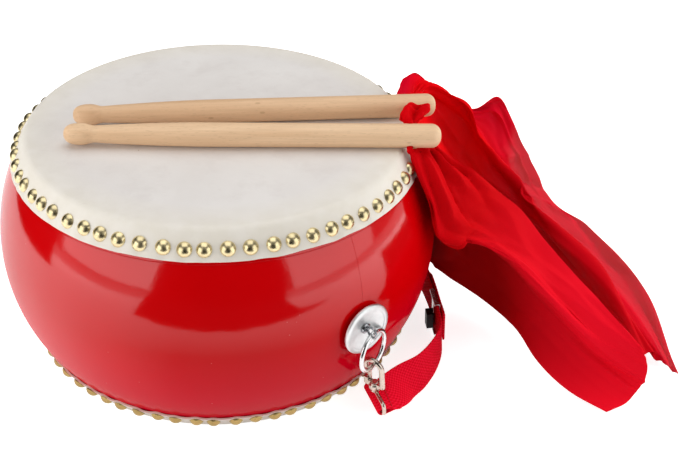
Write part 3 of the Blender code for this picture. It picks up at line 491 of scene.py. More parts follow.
def add_piece(name, mesh, material, body, slot, replaced=(), matrix=None):
    """A finished piece, riding on its body and standing for its CAD nodes."""
    obj = new_object(name, mesh)
    if matrix is not None:
        obj.matrix_world = matrix
    mesh.materials.clear()
    mesh.materials.append(material)
    bpy.context.view_layer.update()
    if body is not None:
        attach(obj, body)
    if replaced:
        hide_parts(*replaced)
    return obj


def lathe(profile, facets, warp=None, angles=None):
    """Vertices and faces of a closed solid of revolution; profile points are (radius, height)."""
    if angles is None:
        angles = [2 * pi * i / facets for i in range(facets)]
    count = len(angles)
    vertices = []
    rings = []
    for r, z in profile:
        if r < 1e-7:
            rings.append([len(vertices)])
            vertices.append((0.0, 0.0, z))
            continue
        ring = []
        for a in angles:
            rr, zz = (r, z) if warp is None else warp(r, z, a)
            ring.append(len(vertices))
            vertices.append((rr * cos(a), rr * sin(a), zz))
        rings.append(ring)
    faces = []
    pairs = list(zip(rings, rings[1:]))
    if len(rings[0]) > 1 and len(rings[-1]) > 1:
        pairs.append((rings[-1], rings[0]))
    for upper, lower in pairs:
        for i in range(count):
            j = (i + 1) % count
            if len(upper) == 1:
                faces.append((upper[0], lower[i], lower[j]))
            elif len(lower) == 1:
                faces.append((upper[i], lower[0], upper[j]))
            else:
                faces.append((upper[i], lower[i], lower[j], upper[j]))
    return vertices, faces


def swept_faces(rows, sides, cyclic=False):
    """Faces round a swept section, closed by flat ends where it isn't a ring."""
    faces = []
    for i in range(rows if cyclic else rows - 1):
        n = (i + 1) % rows
        for k in range(sides):
            m = (k + 1) % sides
            faces.append((i * sides + k, i * sides + m, n * sides + m, n * sides + k))
    if not cyclic:
        faces.append(tuple(range(sides - 1, -1, -1)))
        faces.append(tuple((rows - 1) * sides + k for k in range(sides)))
    return faces


def tube(points, radius, sides, cyclic=False):
    """Vertices and faces of a round wire along the points."""
    points = [Vector(p) for p in points]
    count = len(points)
    if cyclic:
        tangents = [(points[(i + 1) % count] - points[i - 1]).normalized() for i in range(count)]
    else:
        tangents = [chord(points, i).normalized() for i in range(count)]
    side = tangents[0].orthogonal().normalized()
    vertices = []
    for point, tangent in zip(points, tangents):
        side = squared(side, tangent)
        other = tangent.cross(side)
        for k in range(sides):
            a = 2 * pi * k / sides
            vertices.append(point + (side * cos(a) + other * sin(a)) * radius)
    return vertices, swept_faces(count, sides, cyclic)


def box(size, centre):
    sx, sy, sz = (v / 2 for v in size)
    vertices = [Vector((x, y, z)) + Vector(centre) for x in (-sx, sx) for y in (-sy, sy) for z in (-sz, sz)]
    faces = [(0, 1, 3, 2), (4, 6, 7, 5), (0, 4, 5, 1), (2, 3, 7, 6), (0, 2, 6, 4), (1, 5, 7, 3)]
    return vertices, faces


def joined(*solids):
    """Several vertex and face lists as one."""
    vertices = []
    faces = []
    for solid_vertices, solid_faces in solids:
        base = len(vertices)
        vertices += list(solid_vertices)
        faces += [tuple(base + i for i in face) for face in solid_faces]
    return vertices, faces


def moved(solid, matrix):
    return [matrix @ Vector(v) for v in solid[0]], solid[1]


def baked(carrier, *helpers):
    """The carrier's mesh with its modifiers applied; carrier and helpers are removed."""
    bpy.context.view_layer.update()
    evaluated = carrier.evaluated_get(bpy.context.evaluated_depsgraph_get())
    mesh = bpy.data.meshes.new_from_object(evaluated)
    for obj in (carrier, *helpers):
        bpy.data.objects.remove(obj, do_unlink=True)
    mesh.shade_smooth()
    return mesh


def cast(name, solid):
    """One skin over overlapping solids, softened like a casting."""
    voxel, smoothing, keep = CASTINGS[name]
    carrier = new_object(name, make_mesh(name, *solid))
    skin = carrier.modifiers.new("Skin", "REMESH")
    skin.mode = "VOXEL"
    skin.voxel_size = voxel
    soften = carrier.modifiers.new("Soften", "SMOOTH")
    soften.factor = CAST_SOFTNESS
    soften.iterations = smoothing
    thin = carrier.modifiers.new("Thin", "DECIMATE")
    thin.ratio = keep
    return baked(carrier)


# Materials

def make_material(name, colour, roughness, metallic=0.0, **sockets):
    material = bpy.data.materials.new(name)
    material.use_nodes = True
    shader = material.node_tree.nodes["Principled BSDF"]
    shader.inputs["Base Color"].default_value = (*colour, 1.0)
    shader.inputs["Roughness"].default_value = roughness
    shader.inputs["Metallic"].default_value = metallic
    for key, value in sockets.items():
        shader.inputs[key.replace("_", " ")].default_value = value
    return material


class Graph:
    """Shorthand for wiring a material's texture nodes."""

    def __init__(self, material):
        self.tree = material.node_tree
        self.shader = self.tree.nodes["Principled BSDF"]

    def node(self, kind, inputs=None, **settings):
        node = self.tree.nodes.new(kind)
        for key, value in settings.items():
            setattr(node, key, value)
        for key, value in (inputs or {}).items():
            self.wire(value, node.inputs[key])
        return node

    def wire(self, value, socket):
        if isinstance(value, bpy.types.NodeSocket):
            self.tree.links.new(value, socket)
        else:
            socket.default_value = value

    def coordinates(self, scale=(1.0, 1.0, 1.0), output="Object"):
        place = self.node("ShaderNodeTexCoord").outputs[output]
        return self.node("ShaderNodeMapping", {"Vector": place, "Scale": scale}).outputs["Vector"]

    def noise(self, vector, scale, detail=3.0, roughness=0.5):
        inputs = {"Vector": vector, "Scale": scale, "Detail": detail, "Roughness": roughness}
        return self.node("ShaderNodeTexNoise", inputs).outputs["Fac"]

    def spots(self, vector, scale, core, edge):
        """One within the spots' cores, fading to nothing at their edges."""
        distance = self.node("ShaderNodeTexVoronoi", {"Vector": vector, "Scale": scale}).outputs["Distance"]
        return self.ramp(distance, core, edge, 1.0, 0.0)

    def ramp(self, value, low, high, start=0.0, end=1.0):
        inputs = {"Value": value, "From Min": low, "From Max": high, "To Min": start, "To Max": end}
        return self.node("ShaderNodeMapRange", inputs).outputs["Result"]

    def math(self, operation, a, b):
        return self.node("ShaderNodeMath", {0: a, 1: b}, operation=operation).outputs["Value"]

    def times(self, a, b):
        return self.math("MULTIPLY", a, b)

    def parts(self, vector):
        return self.node("ShaderNodeSeparateXYZ", {0: vector}).outputs

    def mix(self, factor, a, b):
        node = self.node("ShaderNodeMix", data_type="RGBA")
        self.wire(factor, node.inputs["Factor"])
        for socket, value in ((node.inputs[6], a), (node.inputs[7], b)):
            self.wire(value if isinstance(value, bpy.types.NodeSocket) else (*value, 1.0), socket)
        return node.outputs[2]

    def bump(self, height, strength, distance):
        inputs = {"Height": height, "Strength": strength, "Distance": distance}
        return self.node("ShaderNodeBump", inputs).outputs["Normal"]

    def set(self, socket, value):
        self.wire(value, self.shader.inputs[socket])


def lacquer_material():
    """Red under a clear coat that is dull below the belly and at the far left, a painted dimming of the
    floor's reflection there; the red is painted brighter below the belly, as light bounced from the floor.
    """
    material = make_material("red_lacquer", (0.55, 0.0, 0.002), 0.5, Coat_Weight=1.0, Coat_Roughness=0.10,
                             Coat_IOR=1.6, Specular_IOR_Level=0.0)
    g = Graph(material)
    place = g.coordinates()
    around = g.parts(place)
    cloud = g.ramp(g.noise(place, 9.0, 2.0), 0.35, 0.7)
    red = g.mix(cloud, (0.57, 0.0, 0.001), (0.65, 0.0, 0.002))
    # Painted light: the red turns brighter below the belly, standing for light bounced up from the floor.
    red = g.mix(g.ramp(around[2], 0.005, -0.040), red, (0.67, 0.001, 0.016))
    specks = g.spots(place, 170.0, 0.055, 0.075)
    rare = g.ramp(g.noise(place, 40.0, 1.0), 0.60, 0.64)
    dust = g.times(specks, rare)
    g.set("Base Color", g.mix(g.times(dust, 0.3), red, (0.80, 0.35, 0.33)))
    # The coat is thinned below the belly and at the far left: a painted dimming of the floor's reflection,
    # where the real floor lies in the drum's shade.
    dimmed_reflection = g.ramp(around[2], 0.002, 0.036, 0.21, 0.95)
    dimmed_reflection_left = g.ramp(around[2], -0.045, 0.032, 0.30, 0.95)
    aside = g.ramp(around[0], -0.030, -0.095)
    coat = g.math("ADD", dimmed_reflection, g.times(aside, g.math("SUBTRACT", dimmed_reflection_left, dimmed_reflection)))
    g.set("Coat Weight", g.times(coat, g.ramp(around[0], -0.118, -0.146, 1.0, 0.72)))
    peel = g.noise(place, 420.0, 2.0)
    wave = g.noise(place, 75.0, 2.0)
    normal = g.bump(g.math("ADD", g.times(peel, 0.22), wave), 0.22, 0.0004)
    g.set("Normal", normal)
    g.set("Coat Normal", normal)
    return material


def hide_material():
    """Clouded pale hide, creamier towards the rim, with faint veins and a few dark specks."""
    material = make_material("natural_hide", (0.80, 0.77, 0.71), 0.55, Specular_IOR_Level=0.35)
    g = Graph(material)
    place = g.coordinates()
    cloud = g.ramp(g.noise(place, 16.0, 4.0, 0.6), 0.36, 0.66)
    base = g.mix(cloud, (0.765, 0.725, 0.695), (0.82, 0.785, 0.755))
    blotch = g.ramp(g.noise(place, 55.0, 5.0, 0.65), 0.50, 0.74)
    base = g.mix(g.times(blotch, 0.45), base, (0.68, 0.63, 0.60))
    away = g.parts(place)
    flat = g.node("ShaderNodeCombineXYZ", {0: away[0], 1: away[1]}).outputs[0]
    radius = g.node("ShaderNodeVectorMath", {0: flat}, operation="LENGTH").outputs["Value"]
    rim = g.times(g.ramp(radius, 0.100, 0.1255), 0.75)
    patches = g.ramp(g.noise(place, 90.0, 4.0), 0.4, 0.7)
    base = g.mix(rim, base, g.mix(patches, (0.80, 0.745, 0.635), (0.85, 0.80, 0.71)))
    stretched = g.coordinates((30.0, 160.0, 30.0))
    vein = g.ramp(g.noise(stretched, 1.0, 5.0, 0.7), 0.66, 0.76)
    base = g.mix(g.times(vein, 0.25), base, (0.58, 0.48, 0.40))
    specks = g.spots(place, 95.0, 0.03, 0.05)
    rare = g.ramp(g.noise(place, 33.0, 1.0), 0.62, 0.66)
    base = g.mix(g.times(g.times(specks, rare), 0.65), base, (0.36, 0.25, 0.17))
    g.set("Base Color", base)
    grain = g.math("ADD", g.noise(place, 420.0, 3.0), g.times(g.noise(place, 70.0, 3.0), 0.8))
    g.set("Normal", g.bump(grain, 0.25, 0.0004))
    g.set("Roughness", g.ramp(g.noise(place, 40.0, 3.0), 0.3, 0.7, 0.46, 0.64))
    return material


def metal_material(name, colour, roughness, scratch=0.06):
    """Metal a little uneven in shine and colour."""
    material = make_material(name, colour, roughness, 1.0)
    g = Graph(material)
    place = g.coordinates((60.0, 60.0, 60.0))
    dull = g.noise(place, 6.0, 4.0, 0.6)
    g.set("Roughness", g.ramp(dull, 0.3, 0.7, roughness * 0.75, roughness * 1.3))
    darker = tuple(c * 0.84 for c in colour)
    g.set("Base Color", g.mix(g.ramp(g.noise(place, 2.0, 3.0), 0.35, 0.7), colour, darker))
    g.set("Normal", g.bump(g.noise(place, 9.0, 3.0), scratch, 0.0003))
    return material


def beech_material(name, pale, brown):
    """Wood banded along the stick, with fine grain, flecks and small knots."""
    material = make_material(name, pale, 0.48, Specular_IOR_Level=0.35)
    g = Graph(material)
    along = g.coordinates((120.0, 120.0, 6.0))
    base = g.mix(g.ramp(g.noise(along, 1.0, 4.0, 0.6), 0.3, 0.72), pale, brown)
    fine = g.ramp(g.noise(g.coordinates((900.0, 900.0, 30.0)), 1.0, 3.0), 0.35, 0.7)
    flecks = g.spots(g.coordinates((1100.0, 1100.0, 150.0)), 1.0, 0.16, 0.26)
    knots = g.spots(g.coordinates((130.0, 130.0, 55.0)), 1.0, 0.07, 0.12)
    for marks, strength, colour in ((fine, 0.35, (0.62, 0.41, 0.24)), (flecks, 0.35, (0.52, 0.33, 0.19)),
                                    (knots, 0.45, (0.43, 0.24, 0.12))):
        base = g.mix(g.times(marks, strength), base, colour)
    g.set("Base Color", base)
    g.set("Normal", g.bump(fine, 0.12, 0.0003))
    return material


def webbing_material():
    """A two-way weave from the strap's own map."""
    material = make_material("red_webbing", (0.78, 0.002, 0.016), 0.75, Specular_IOR_Level=0.05)
    g = Graph(material)
    weave = {"Vector": g.coordinates(output="UV"), "Scale": 0.3142}
    along, over = (g.node("ShaderNodeTexWave", weave, bands_direction=axis).outputs["Fac"] for axis in "XY")
    both = g.times(along, over)
    neither = g.times(g.math("SUBTRACT", 1.0, along), g.math("SUBTRACT", 1.0, over))
    threads = g.noise(g.coordinates((2.2, 0.9, 1.0), "UV"), 3.0, 3.0)
    shade = g.math("ADD", g.math("ADD", both, neither), g.times(threads, 0.3))
    g.set("Base Color", g.mix(g.ramp(shade, 0.25, 1.05), (0.78, 0.0, 0.010), (1.0, 0.010, 0.045)))
    g.set("Normal", g.bump(shade, 0.5, 0.0003))
    return material


def chiffon_material(name, alpha, thin, under, strength):
    """Fine red cloth; a thin place, given as spans across and down and an alpha, lets more light through. Its
    red carries painted light and shade: a brightness factor per scarf, brighter towards the front's hem,
    darker on the rear's lower half and far flank, and darker on the under layer.
    """
    material = make_material(name, (0.60, 0.0, 0.003), 0.7, Specular_IOR_Level=0.04, Alpha=alpha)
    g = Graph(material)
    across, down = g.parts(g.coordinates(output="UV"))[:2]
    slub = g.noise(g.coordinates((900.0, 900.0, 260.0)), 1.0, 3.0)
    cloud = g.ramp(g.noise(g.coordinates(), 14.0, 3.0), 0.3, 0.7)
    # The last argument scales the whole red: painted light on the rear scarf, painted shade on the front.
    red = g.mix(cloud, (0.60 * strength, 0.0, 0.002), (0.72 * strength, 0.0, 0.004))
    red = g.mix(g.ramp(slub, 0.45, 0.8, 0.0, 0.3), red, (0.50 * strength, 0.0, 0.002))
    # Rear cloth: darker towards the lower half, and a deeper crimson on the far flank, painted as shade
    # there.
    if thin:
        red = g.mix(g.ramp(down, 0.40, 0.60), red, (0.60, 0.0, 0.006))
        red = g.mix(g.ramp(across, 0.56, 0.78), red, (0.70, 0.0, 0.016))
    else:
        # Painted light: the red turns brighter towards the hem, where a single layer lets light through.
        red = g.mix(g.ramp(down, 0.45, 0.85), red, (0.84, 0.004, 0.018))
    # Painted shade: the under layer, lying beneath the near flap, is darkened by the under factor.
    if under < 1.0:
        shaded = g.times(g.ramp(across, 0.52, 0.66), g.ramp(down, 0.95, 0.60))
        red = g.mix(shaded, red, (0.66 * under, 0.0, 0.001))
    g.set("Base Color", red)
    g.set("Normal", g.bump(slub, 0.2, 0.0003))
    density = alpha
    for across_span, down_span, thinner in thin:
        spans = []
        for place, (low, high), fade in ((across, across_span, 0.012), (down, down_span, 0.04)):
            spans.append(g.times(g.ramp(place, low, low + fade), g.ramp(place, high, high - fade)))
        density = g.math("SUBTRACT", density, g.times(g.times(*spans), alpha - thinner))
    g.set("Alpha", density)
    return material


LACQUER = lacquer_material()
HIDE = hide_material()
BRASS = metal_material("brass", (0.84, 0.71, 0.41), 0.30)
# A darker copy of the brass for the lower row of tacks: painted shade, as they sit in the drum's shadow.
SHADED_BRASS = metal_material("shaded_brass", (0.44, 0.32, 0.12), 0.28)
SATIN = metal_material("satin_steel", (0.77, 0.79, 0.79), 0.42, 0.10)
BRIGHT = metal_material("bright_steel", (0.80, 0.80, 0.80), 0.2)
DARK = metal_material("dark_steel", (0.42, 0.43, 0.45), 0.24)
NICKEL = metal_material("nickel", (0.66, 0.57, 0.49), 0.26)
BEECH = {
    "front": beech_material("beech_front", (0.90, 0.635, 0.405), (0.77, 0.49, 0.28)),
    "rear": beech_material("beech_rear", (0.83, 0.56, 0.345), (0.68, 0.42, 0.235)),
}
WEBBING = webbing_material()
THREAD = make_material("red_thread", (0.66, 0.0, 0.014), 0.6)
PLASTIC = make_material("black_plastic", (0.006, 0.006, 0.007), 0.45, Specular_IOR_Level=0.25)
# The last two numbers of each cloth are painted shade on its under layer and a painted brightness for its
# whole red.
CHIFFON_FRONT = chiffon_material("red_chiffon_front", 0.985, (), 0.55, 0.92)
CHIFFON_REAR = chiffon_material("red_chiffon_rear", 0.965, REAR_THIN, 1.0, 1.22)
KNOT_CLOTH = chiffon_material("red_chiffon_knot", 1.0, (), 1.0, 1.0)


# Barrel and heads

def shell_place(height, offset):
    """Radius at a height above the barrel's middle, at an offset from the outer surface."""
    return MERIDIAN_CENTRE + sqrt((MERIDIAN_RADIUS + offset) ** 2 - height ** 2)


def make_shell():
    """The barrel under one skin of lacquer, with a hairline where two staves meet beside the plate."""
    heights = [HALF_SHELL * (1 - 2 * i / SHELL_STEPS) for i in range(SHELL_STEPS + 1)]
    scribed = {SCRIBE_HEIGHT + rise: depth for rise, depth in SCRIBE_LINE}
    profile = []
    for h in sorted([*heights, *scribed], reverse=True):
        offset = -scribed.get(h, 0.0) if abs(h) < SHELL_END_HEIGHT else -SHELL_END_INSET
        profile.append((shell_place(h, offset), h))
    profile += [(shell_place(h, -SHELL_WALL), h) for h in reversed(heights[::SHELL_INNER_STRIDE])]
    seam = radians(SEAM_ANGLE)
    half = SEAM_HALF_WIDTH / BELLY_RADIUS
    step = 2 * pi / SHELL_FACETS
    angles = [seam + step / 2 + i * step for i in range(SHELL_FACETS)]
    angles = sorted(angles + [seam + k * half for k in range(-2, 3)])

    def warp(r, z, a):
        if r < shell_place(z, -SHELL_SKIN):
            return r, z
        around = Vector((cos(a) * RIPPLE_AROUND, sin(a) * RIPPLE_AROUND, z * RIPPLE_DOWN))
        depth = SEAM_DEPTH if abs(a - seam) < half / 2 else 0.0
        return r + noise.noise(around) * SHELL_RIPPLE - depth, z

    mesh = make_mesh("shell", *lathe(profile, len(angles), warp, angles))
    staves = [f"stave_{i:02d}" for i in range(1, STAVE_COUNT + 1)]
    add_piece("shell", mesh, LACQUER, "drum", "lacquer", staves, shift(0, 0, CENTRE_HEIGHT))


def tack_angles(seed):
    scatter = random.Random(seed)
    step = 360.0 / TACK_COUNT
    return [TACK_PHASE + i * step + scatter.uniform(-TACK_JITTER, TACK_JITTER) for i in range(TACK_COUNT)]


def rim_line(offset, low_height, steps):
    """The shell's outer line at an offset, from the bearing edge's flat down to a height."""
    height = HALF_SHELL - BEARING_EDGE_RADIUS
    centre = (MERIDIAN_CENTRE + sqrt((MERIDIAN_RADIUS - BEARING_EDGE_RADIUS) ** 2 - height ** 2), height)
    corner = atan2(centre[1], centre[0] - MERIDIAN_CENTRE)
    low = asin(low_height / (MERIDIAN_RADIUS + offset))
    rounding = arc(centre, BEARING_EDGE_RADIUS + offset, pi / 2, corner, count=8)
    return rounding + arc((MERIDIAN_CENTRE, 0.0), MERIDIAN_RADIUS + offset, corner, low, steps)[1:]


def make_head(name, which, side):
    """A hide drawn over the bearing edge: pinched at each tack, with a hand-cut lower edge."""
    edge = HIDE_EDGE_HEIGHT if side > 0 else LOWER_HIDE_EDGE_HEIGHT
    outer = rim_line(HIDE_OUTER, edge, steps=12)
    inner = rim_line(HIDE_INNER, edge, steps=6)
    flat, face = outer[0]
    back = inner[0][1]
    profile = [(0.0, face), *[(r, face) for r in HEAD_RINGS], *outer]
    profile += [*reversed(inner), (HEAD_INNER_RING, back), (0.0, back)]
    tacks = [radians(a) for a in tack_angles(TACK_SEEDS[which])]
    spread = PINCH_WIDTH / TACK_CIRCLE_RADIUS

    def warp(r, z, a):
        if r <= flat + HEAD_FLAT_MARGIN:
            return r, z
        low = smoothstep(HALF_SHELL, edge, z)
        nearest = min(abs((a - t + pi) % (2 * pi) - pi) for t in tacks)
        pinch = exp(-(nearest / spread) ** 2)
        around = Vector((cos(a) * RAGGED_SCALE, sin(a) * RAGGED_SCALE, RAGGED_SHIFT * side))
        ragged = noise.noise(around)
        drop = (RAGGED_DROP * ragged - PINCH_DROP * pinch) * low ** 3
        lift = (PINCH_LIFT * (1 - pinch) + RAGGED_LIFT * ragged) * low ** 2
        return r + lift, z + drop

    vertices, faces = lathe(profile, HIDE_FACETS, warp)
    mesh = make_mesh(name, [(x, y, side * z) for x, y, z in vertices], faces)
    add_piece(name, mesh, HIDE, "drum", "hide", [f"{which}_head"], shift(0, 0, CENTRE_HEIGHT))


def make_tacks(name, which, side, width, crown, material):
    """Separate domed tacks with a thin lip, each a little out of true."""
    sphere = (width ** 2 + crown ** 2) / (2 * crown)
    reach = asin(width / sphere)
    bends = [reach * i / DOME_STEPS for i in range(DOME_STEPS)]
    dome = [(sphere * sin(a), crown - sphere * (1 - cos(a))) for a in bends]
    profile = [*dome, (width, 0.0), (width - TACK_UNDERCUT, -TACK_LIP), (0.0, -TACK_LIP)]
    tack = lathe(profile, facets=28)
    offset = HIDE_OUTER + TACK_SEAT
    slope = asin(TACK_ROW_HEIGHT / (MERIDIAN_RADIUS + offset))
    radius = shell_place(TACK_ROW_HEIGHT, offset)
    scatter = random.Random(TACK_SEEDS[which] + 100)
    solids = []
    for angle in tack_angles(TACK_SEEDS[which]):
        tilt = turn(90 - side * degrees(slope), "Y")
        roll = turn(scatter.uniform(-TACK_WOBBLE, TACK_WOBBLE), "X")
        wobble = roll @ turn(scatter.uniform(-TACK_WOBBLE, TACK_WOBBLE), "Y")
        rise = scatter.uniform(-TACK_RISE, TACK_RISE)
        place = turn(angle, "Z") @ shift(radius, 0, side * (TACK_ROW_HEIGHT + rise)) @ tilt @ wobble
        solids.append(moved(tack, place))
    mesh = make_mesh(name, *joined(*solids))
    add_piece(name, mesh, material, "drum", "brass", [f"{which}_tacks"], shift(0, 0, CENTRE_HEIGHT))


# Ring pulls and snap hooks

def plate_frame(angle):
    return turn(angle, "Z") @ shift(BELLY_RADIUS, 0, PLATE_HEIGHT)


def hang_frame(side):
    angle, sign = RING_ANGLES[side]
    place = turn(angle, "Z") @ shift(BELLY_RADIUS + EYE_REACH, 0, PLATE_HEIGHT - RING_DROP)
    return place @ turn(sign * RING_YAW, "Z") @ turn(sign * HANG_TILT, "X")


def plate_solid():
    """A pressed dish: flat middle, sloping cone, a crease and a rolled rim."""
    back = [(r - PLATE_EDGE_INSET, z - PLATE_THICKNESS) for r, z in reversed(PLATE_LINE)]
    back[-1] = PLATE_BACK_BORE
    return lathe(PLATE_LINE + back, facets=96)


def pin_points():
    """The split pin's wire: one leg in, round the eye and back along the other leg."""
    eye = EYE_HOLE_RADIUS + PIN_WIRE / 2
    opening = asin(PIN_LEG / eye)
    loop = arc((EYE_REACH, 0.0), eye, pi - opening, -pi + opening, count=40)
    line = PIN_LEG_LINE + loop + [(x, -z) for x, z in reversed(PIN_LEG_LINE)]
    return [(x, 0.0, z) for x, z in line]


def hook_mesh():
    """Spine, round hook and nose of rounded section, on a collar with a lug for the gate."""
    mid = THROAT_RADIUS + HOOK_LIMB / 2
    line = [(mid, COLLAR_TOP - SPINE_SINK), (mid, COLLAR_TOP + SPINE_STRAIGHT),
            (mid, THROAT_CENTRE - SPINE_STRAIGHT), *arc((0.0, THROAT_CENTRE), mid, 0.0, pi, count=20),
            (-mid, THROAT_CENTRE - NOSE_DROP)]
    limb = tube([(x, 0.0, z) for x, z in line], HOOK_LIMB / 2 + LIMB_ALLOWANCE, sides=16)
    top = COLLAR_TOP + COLLAR_CROWN
    boss = lathe([(0.0, top), (COLLAR_FACE_RADIUS, top), (COLLAR_RADIUS, COLLAR_TOP - COLLAR_ROUND),
                  (COLLAR_RADIUS, COLLAR_BASE + COLLAR_ROUND), (COLLAR_FACE_RADIUS, COLLAR_BASE),
                  (0.0, COLLAR_BASE)], facets=40)
    corners, yoke_faces = box((1.0, 1.0, 1.0), (0.0, 0.0, 0.0))
    yoke = [Vector((v.x * 2 * (YOKE_FOOT if v.z < 0 else YOKE_SHOULDER), v.y * YOKE_DEPTH,
                    COLLAR_TOP + (YOKE_TOP if v.z > 0 else -YOKE_DROP))) for v in corners]
    height = GATE_PIVOT[1] + GATE_HUB_RADIUS - COLLAR_TOP + LUG_SINK
    middle = COLLAR_TOP - LUG_SINK + height / 2
    cheek = (CHEEK_WIDTH, CHEEK_DEPTH, height)
    cheeks = [box(cheek, (GATE_PIVOT[0], y, middle)) for y in (-CHEEK_AT, CHEEK_AT)]
    return cast("hook", joined(limb, boss, (yoke, yoke_faces), *cheeks))


def gate_mesh():
    """The sprung gate: a flat bar on a round hub."""
    half = GATE_DEPTH / 2
    hub = lathe([(0.0, half), (GATE_HUB_RADIUS, half), (GATE_HUB_RADIUS, -half), (0.0, -half)], facets=24)
    inside = -THROAT_RADIUS + GATE_CLEAR - GATE_PIVOT[0]
    length = THROAT_CENTRE - NOSE_LENGTH + GATE_OVERLAP - GATE_PIVOT[1] - GATE_FOOT
    bar = box((GATE_WIDTH, GATE_DEPTH, length), (inside + GATE_WIDTH / 2, 0.0, GATE_FOOT + length / 2))
    return cast("gate", joined(moved(hub, turn(90, "X")), bar))


def loop_mesh():
    """The wire loop that holds the strap, with its headed stem up through the collar."""
    low = LOOP_TOP - LOOP_DEPTH
    points = []
    for x, z, start in ((1, LOOP_TOP, 0.0), (-1, LOOP_TOP, 0.5), (-1, low, 1.0), (1, low, 1.5)):
        cx = x * (LOOP_HALF - LOOP_CORNER)
        cz = z - LOOP_CORNER if z > low else z + LOOP_CORNER
        bend = arc((cx, cz), LOOP_CORNER, pi * start, pi * (start + 0.5), count=8)
        points += [(px, 0.0, pz) for px, pz in bend]
    wire = tube(points, LOOP_WIRE / 2, sides=18, cyclic=True)
    top = COLLAR_TOP + STEM_HEAD_RISE
    seat = COLLAR_TOP + STEM_SEAT
    inset, drop = STEM_HEAD_CHAMFER
    foot, toe = STEM_FOOT_RISE
    stem = lathe([(0.0, top), (STEM_HEAD_RADIUS - inset, top), (STEM_HEAD_RADIUS, top - drop),
                  (STEM_HEAD_RADIUS, seat), (STEM_RADIUS, seat), (STEM_RADIUS, LOOP_TOP + foot),
                  (STEM_FOOT_RADIUS, LOOP_TOP + toe), (0.0, LOOP_TOP)], facets=28)
    return cast("loop", joined(wire, stem))


def make_ring_pulls():
    hook = hook_mesh()
    gate = gate_mesh()
    loop = loop_mesh()
    collar = moved(lathe(EYE_COLLAR_LINE, facets=28), turn(90, "Y"))
    circle = arc((0.0, -RING_RADIUS), RING_RADIUS, 0.0, 2 * pi, count=96)[:-1]
    for side, (angle, sign) in RING_ANGLES.items():
        base = plate_frame(angle)
        seat = base @ shift(PLATE_SEAT, 0, 0) @ turn(90, "Y")
        hang = hang_frame(side)
        turned = hang @ turn(RING_TURNS[side], "Z")
        place = hang @ shift(0, 0, -2 * RING_RADIUS)
        pivot = place @ shift(GATE_PIVOT[0], 0, GATE_PIVOT[1])
        yawed = place @ turn(sign * LOOP_YAW, "Z")
        plate = make_mesh(f"{side}_plate", *plate_solid())
        pin = make_mesh(f"{side}_eye_pin", *joined(tube(pin_points(), PIN_WIRE / 2, sides=16), collar))
        wire = tube([(0.0, x, z) for x, z in circle], RING_WIRE / 2, sides=24, cyclic=True)
        ring = make_mesh(f"{side}_pull_ring", *wire)
        rivet = make_mesh(f"{side}_rivet", *lathe(RIVET_LINE, facets=20))
        for name, mesh, material, body, slot, node, matrix in (
            ("plate", plate, SATIN, "drum", "satin_steel", "ring_plate", seat),
            ("eye_pin", pin, DARK, "drum", "dark_steel", "split_pin", base),
            ("pull_ring", ring, BRIGHT, f"{side}_ring", "bright_steel", "ring", turned),
            ("snap_hook", hook.copy(), NICKEL, f"{side}_hook", "nickel", "hook", place),
            ("snap_gate", gate.copy(), NICKEL, f"{side}_gate", "nickel", "gate", pivot),
            ("rivet", rivet, DARK, f"{side}_hook", "dark_steel", "gate_pin", pivot @ turn(90, "X")),
            ("loop", loop.copy(), NICKEL, f"{side}_loop", "nickel", "strap_loop", yawed),
        ):
            add_piece(f"{side}_{name}", mesh, material, body, slot, [f"{side}_{node}"], matrix)


# Strap

def bar_centre(side):
    return hang_frame(side) @ Vector((0.0, 0.0, -2 * RING_RADIUS - BAR_DROP))


def bar_direction(side):
    turned = hang_frame(side) @ turn(RING_ANGLES[side][1] * LOOP_YAW, "Z")
    return (turned.to_3x3() @ Vector((-1.0, 0.0, 0.0))).normalized()


def mirror_plan(point, middle):
    radius = hypot(point.x, point.y)
    angle = 2 * middle - atan2(point.y, point.x)
    return Vector((radius * cos(angle), radius * sin(angle), point.z))


def strap_line():
    """Evenly spaced centre line from bar to bar, with the strap's width direction at each place."""
    middle = radians((RING_ANGLES["front"][0] + RING_ANGLES["rear"][0]) / 2)
    across = bar_direction("front")
    ahead = Vector((across.y, -across.x, 0.0)).normalized()
    top = bar_centre("front") + ahead.cross(across).normalized() * STRAP_TURN
    radius, height = STRAP_MID
    half_way = Vector((radius * cos(middle), radius * sin(middle), height)) / 1000
    route = [Vector(point[:3]) / 1000 for point in STRAP_HALF_ROUTE]
    places = [top, top + ahead * STRAP_RUN_OUT, *route, half_way]
    leans = [90.0, STRAP_RUN_OUT_LEAN, *[point[3] for point in STRAP_HALF_ROUTE], 0.0]
    whole = places + [mirror_plan(p, middle) for p in reversed(places[:-1])]
    lean_line = [Vector((v, 0.0)) for v in leans + leans[-2::-1]]
    dense = catmull_rom(whole, STRAP_SAMPLES)
    dense_leans = [v.x for v in catmull_rom(lean_line, STRAP_SAMPLES)]
    line = [dense[0]]
    tilts = [dense_leans[0]]
    travelled = 0.0
    for a, b, lean in zip(dense, dense[1:], dense_leans[1:]):
        travelled += (b - a).length
        if travelled >= STRAP_STEP * len(line):
            line.append(b)
            tilts.append(lean)
    widths = []
    last = len(line) - 1
    for i, tilt in enumerate(tilts):
        along = chord(line, i, reach=4)
        inward = Vector((-along.y, along.x, 0.0)).normalized()
        lean = radians(max(0.0, min(90.0, tilt)))
        widths.append(inward * sin(lean) + Vector((0.0, 0.0, cos(lean))))
    settle = int(STRAP_RUN_OUT / STRAP_STEP)
    for ends, direction in ((range(settle), bar_direction("front")),
                            (range(last, last - settle, -1), bar_direction("rear"))):
        for k, i in enumerate(ends):
            share = 1 - smoothstep(0.0, settle, k)
            widths[i] = (widths[i] * (1 - share) + direction * share).normalized()
    return line, widths


def strap_face(line, widths, i, reach):
    """The direction out of the strap's face at a place."""
    return chord(line, i, reach).normalized().cross(widths[i]).normalized()


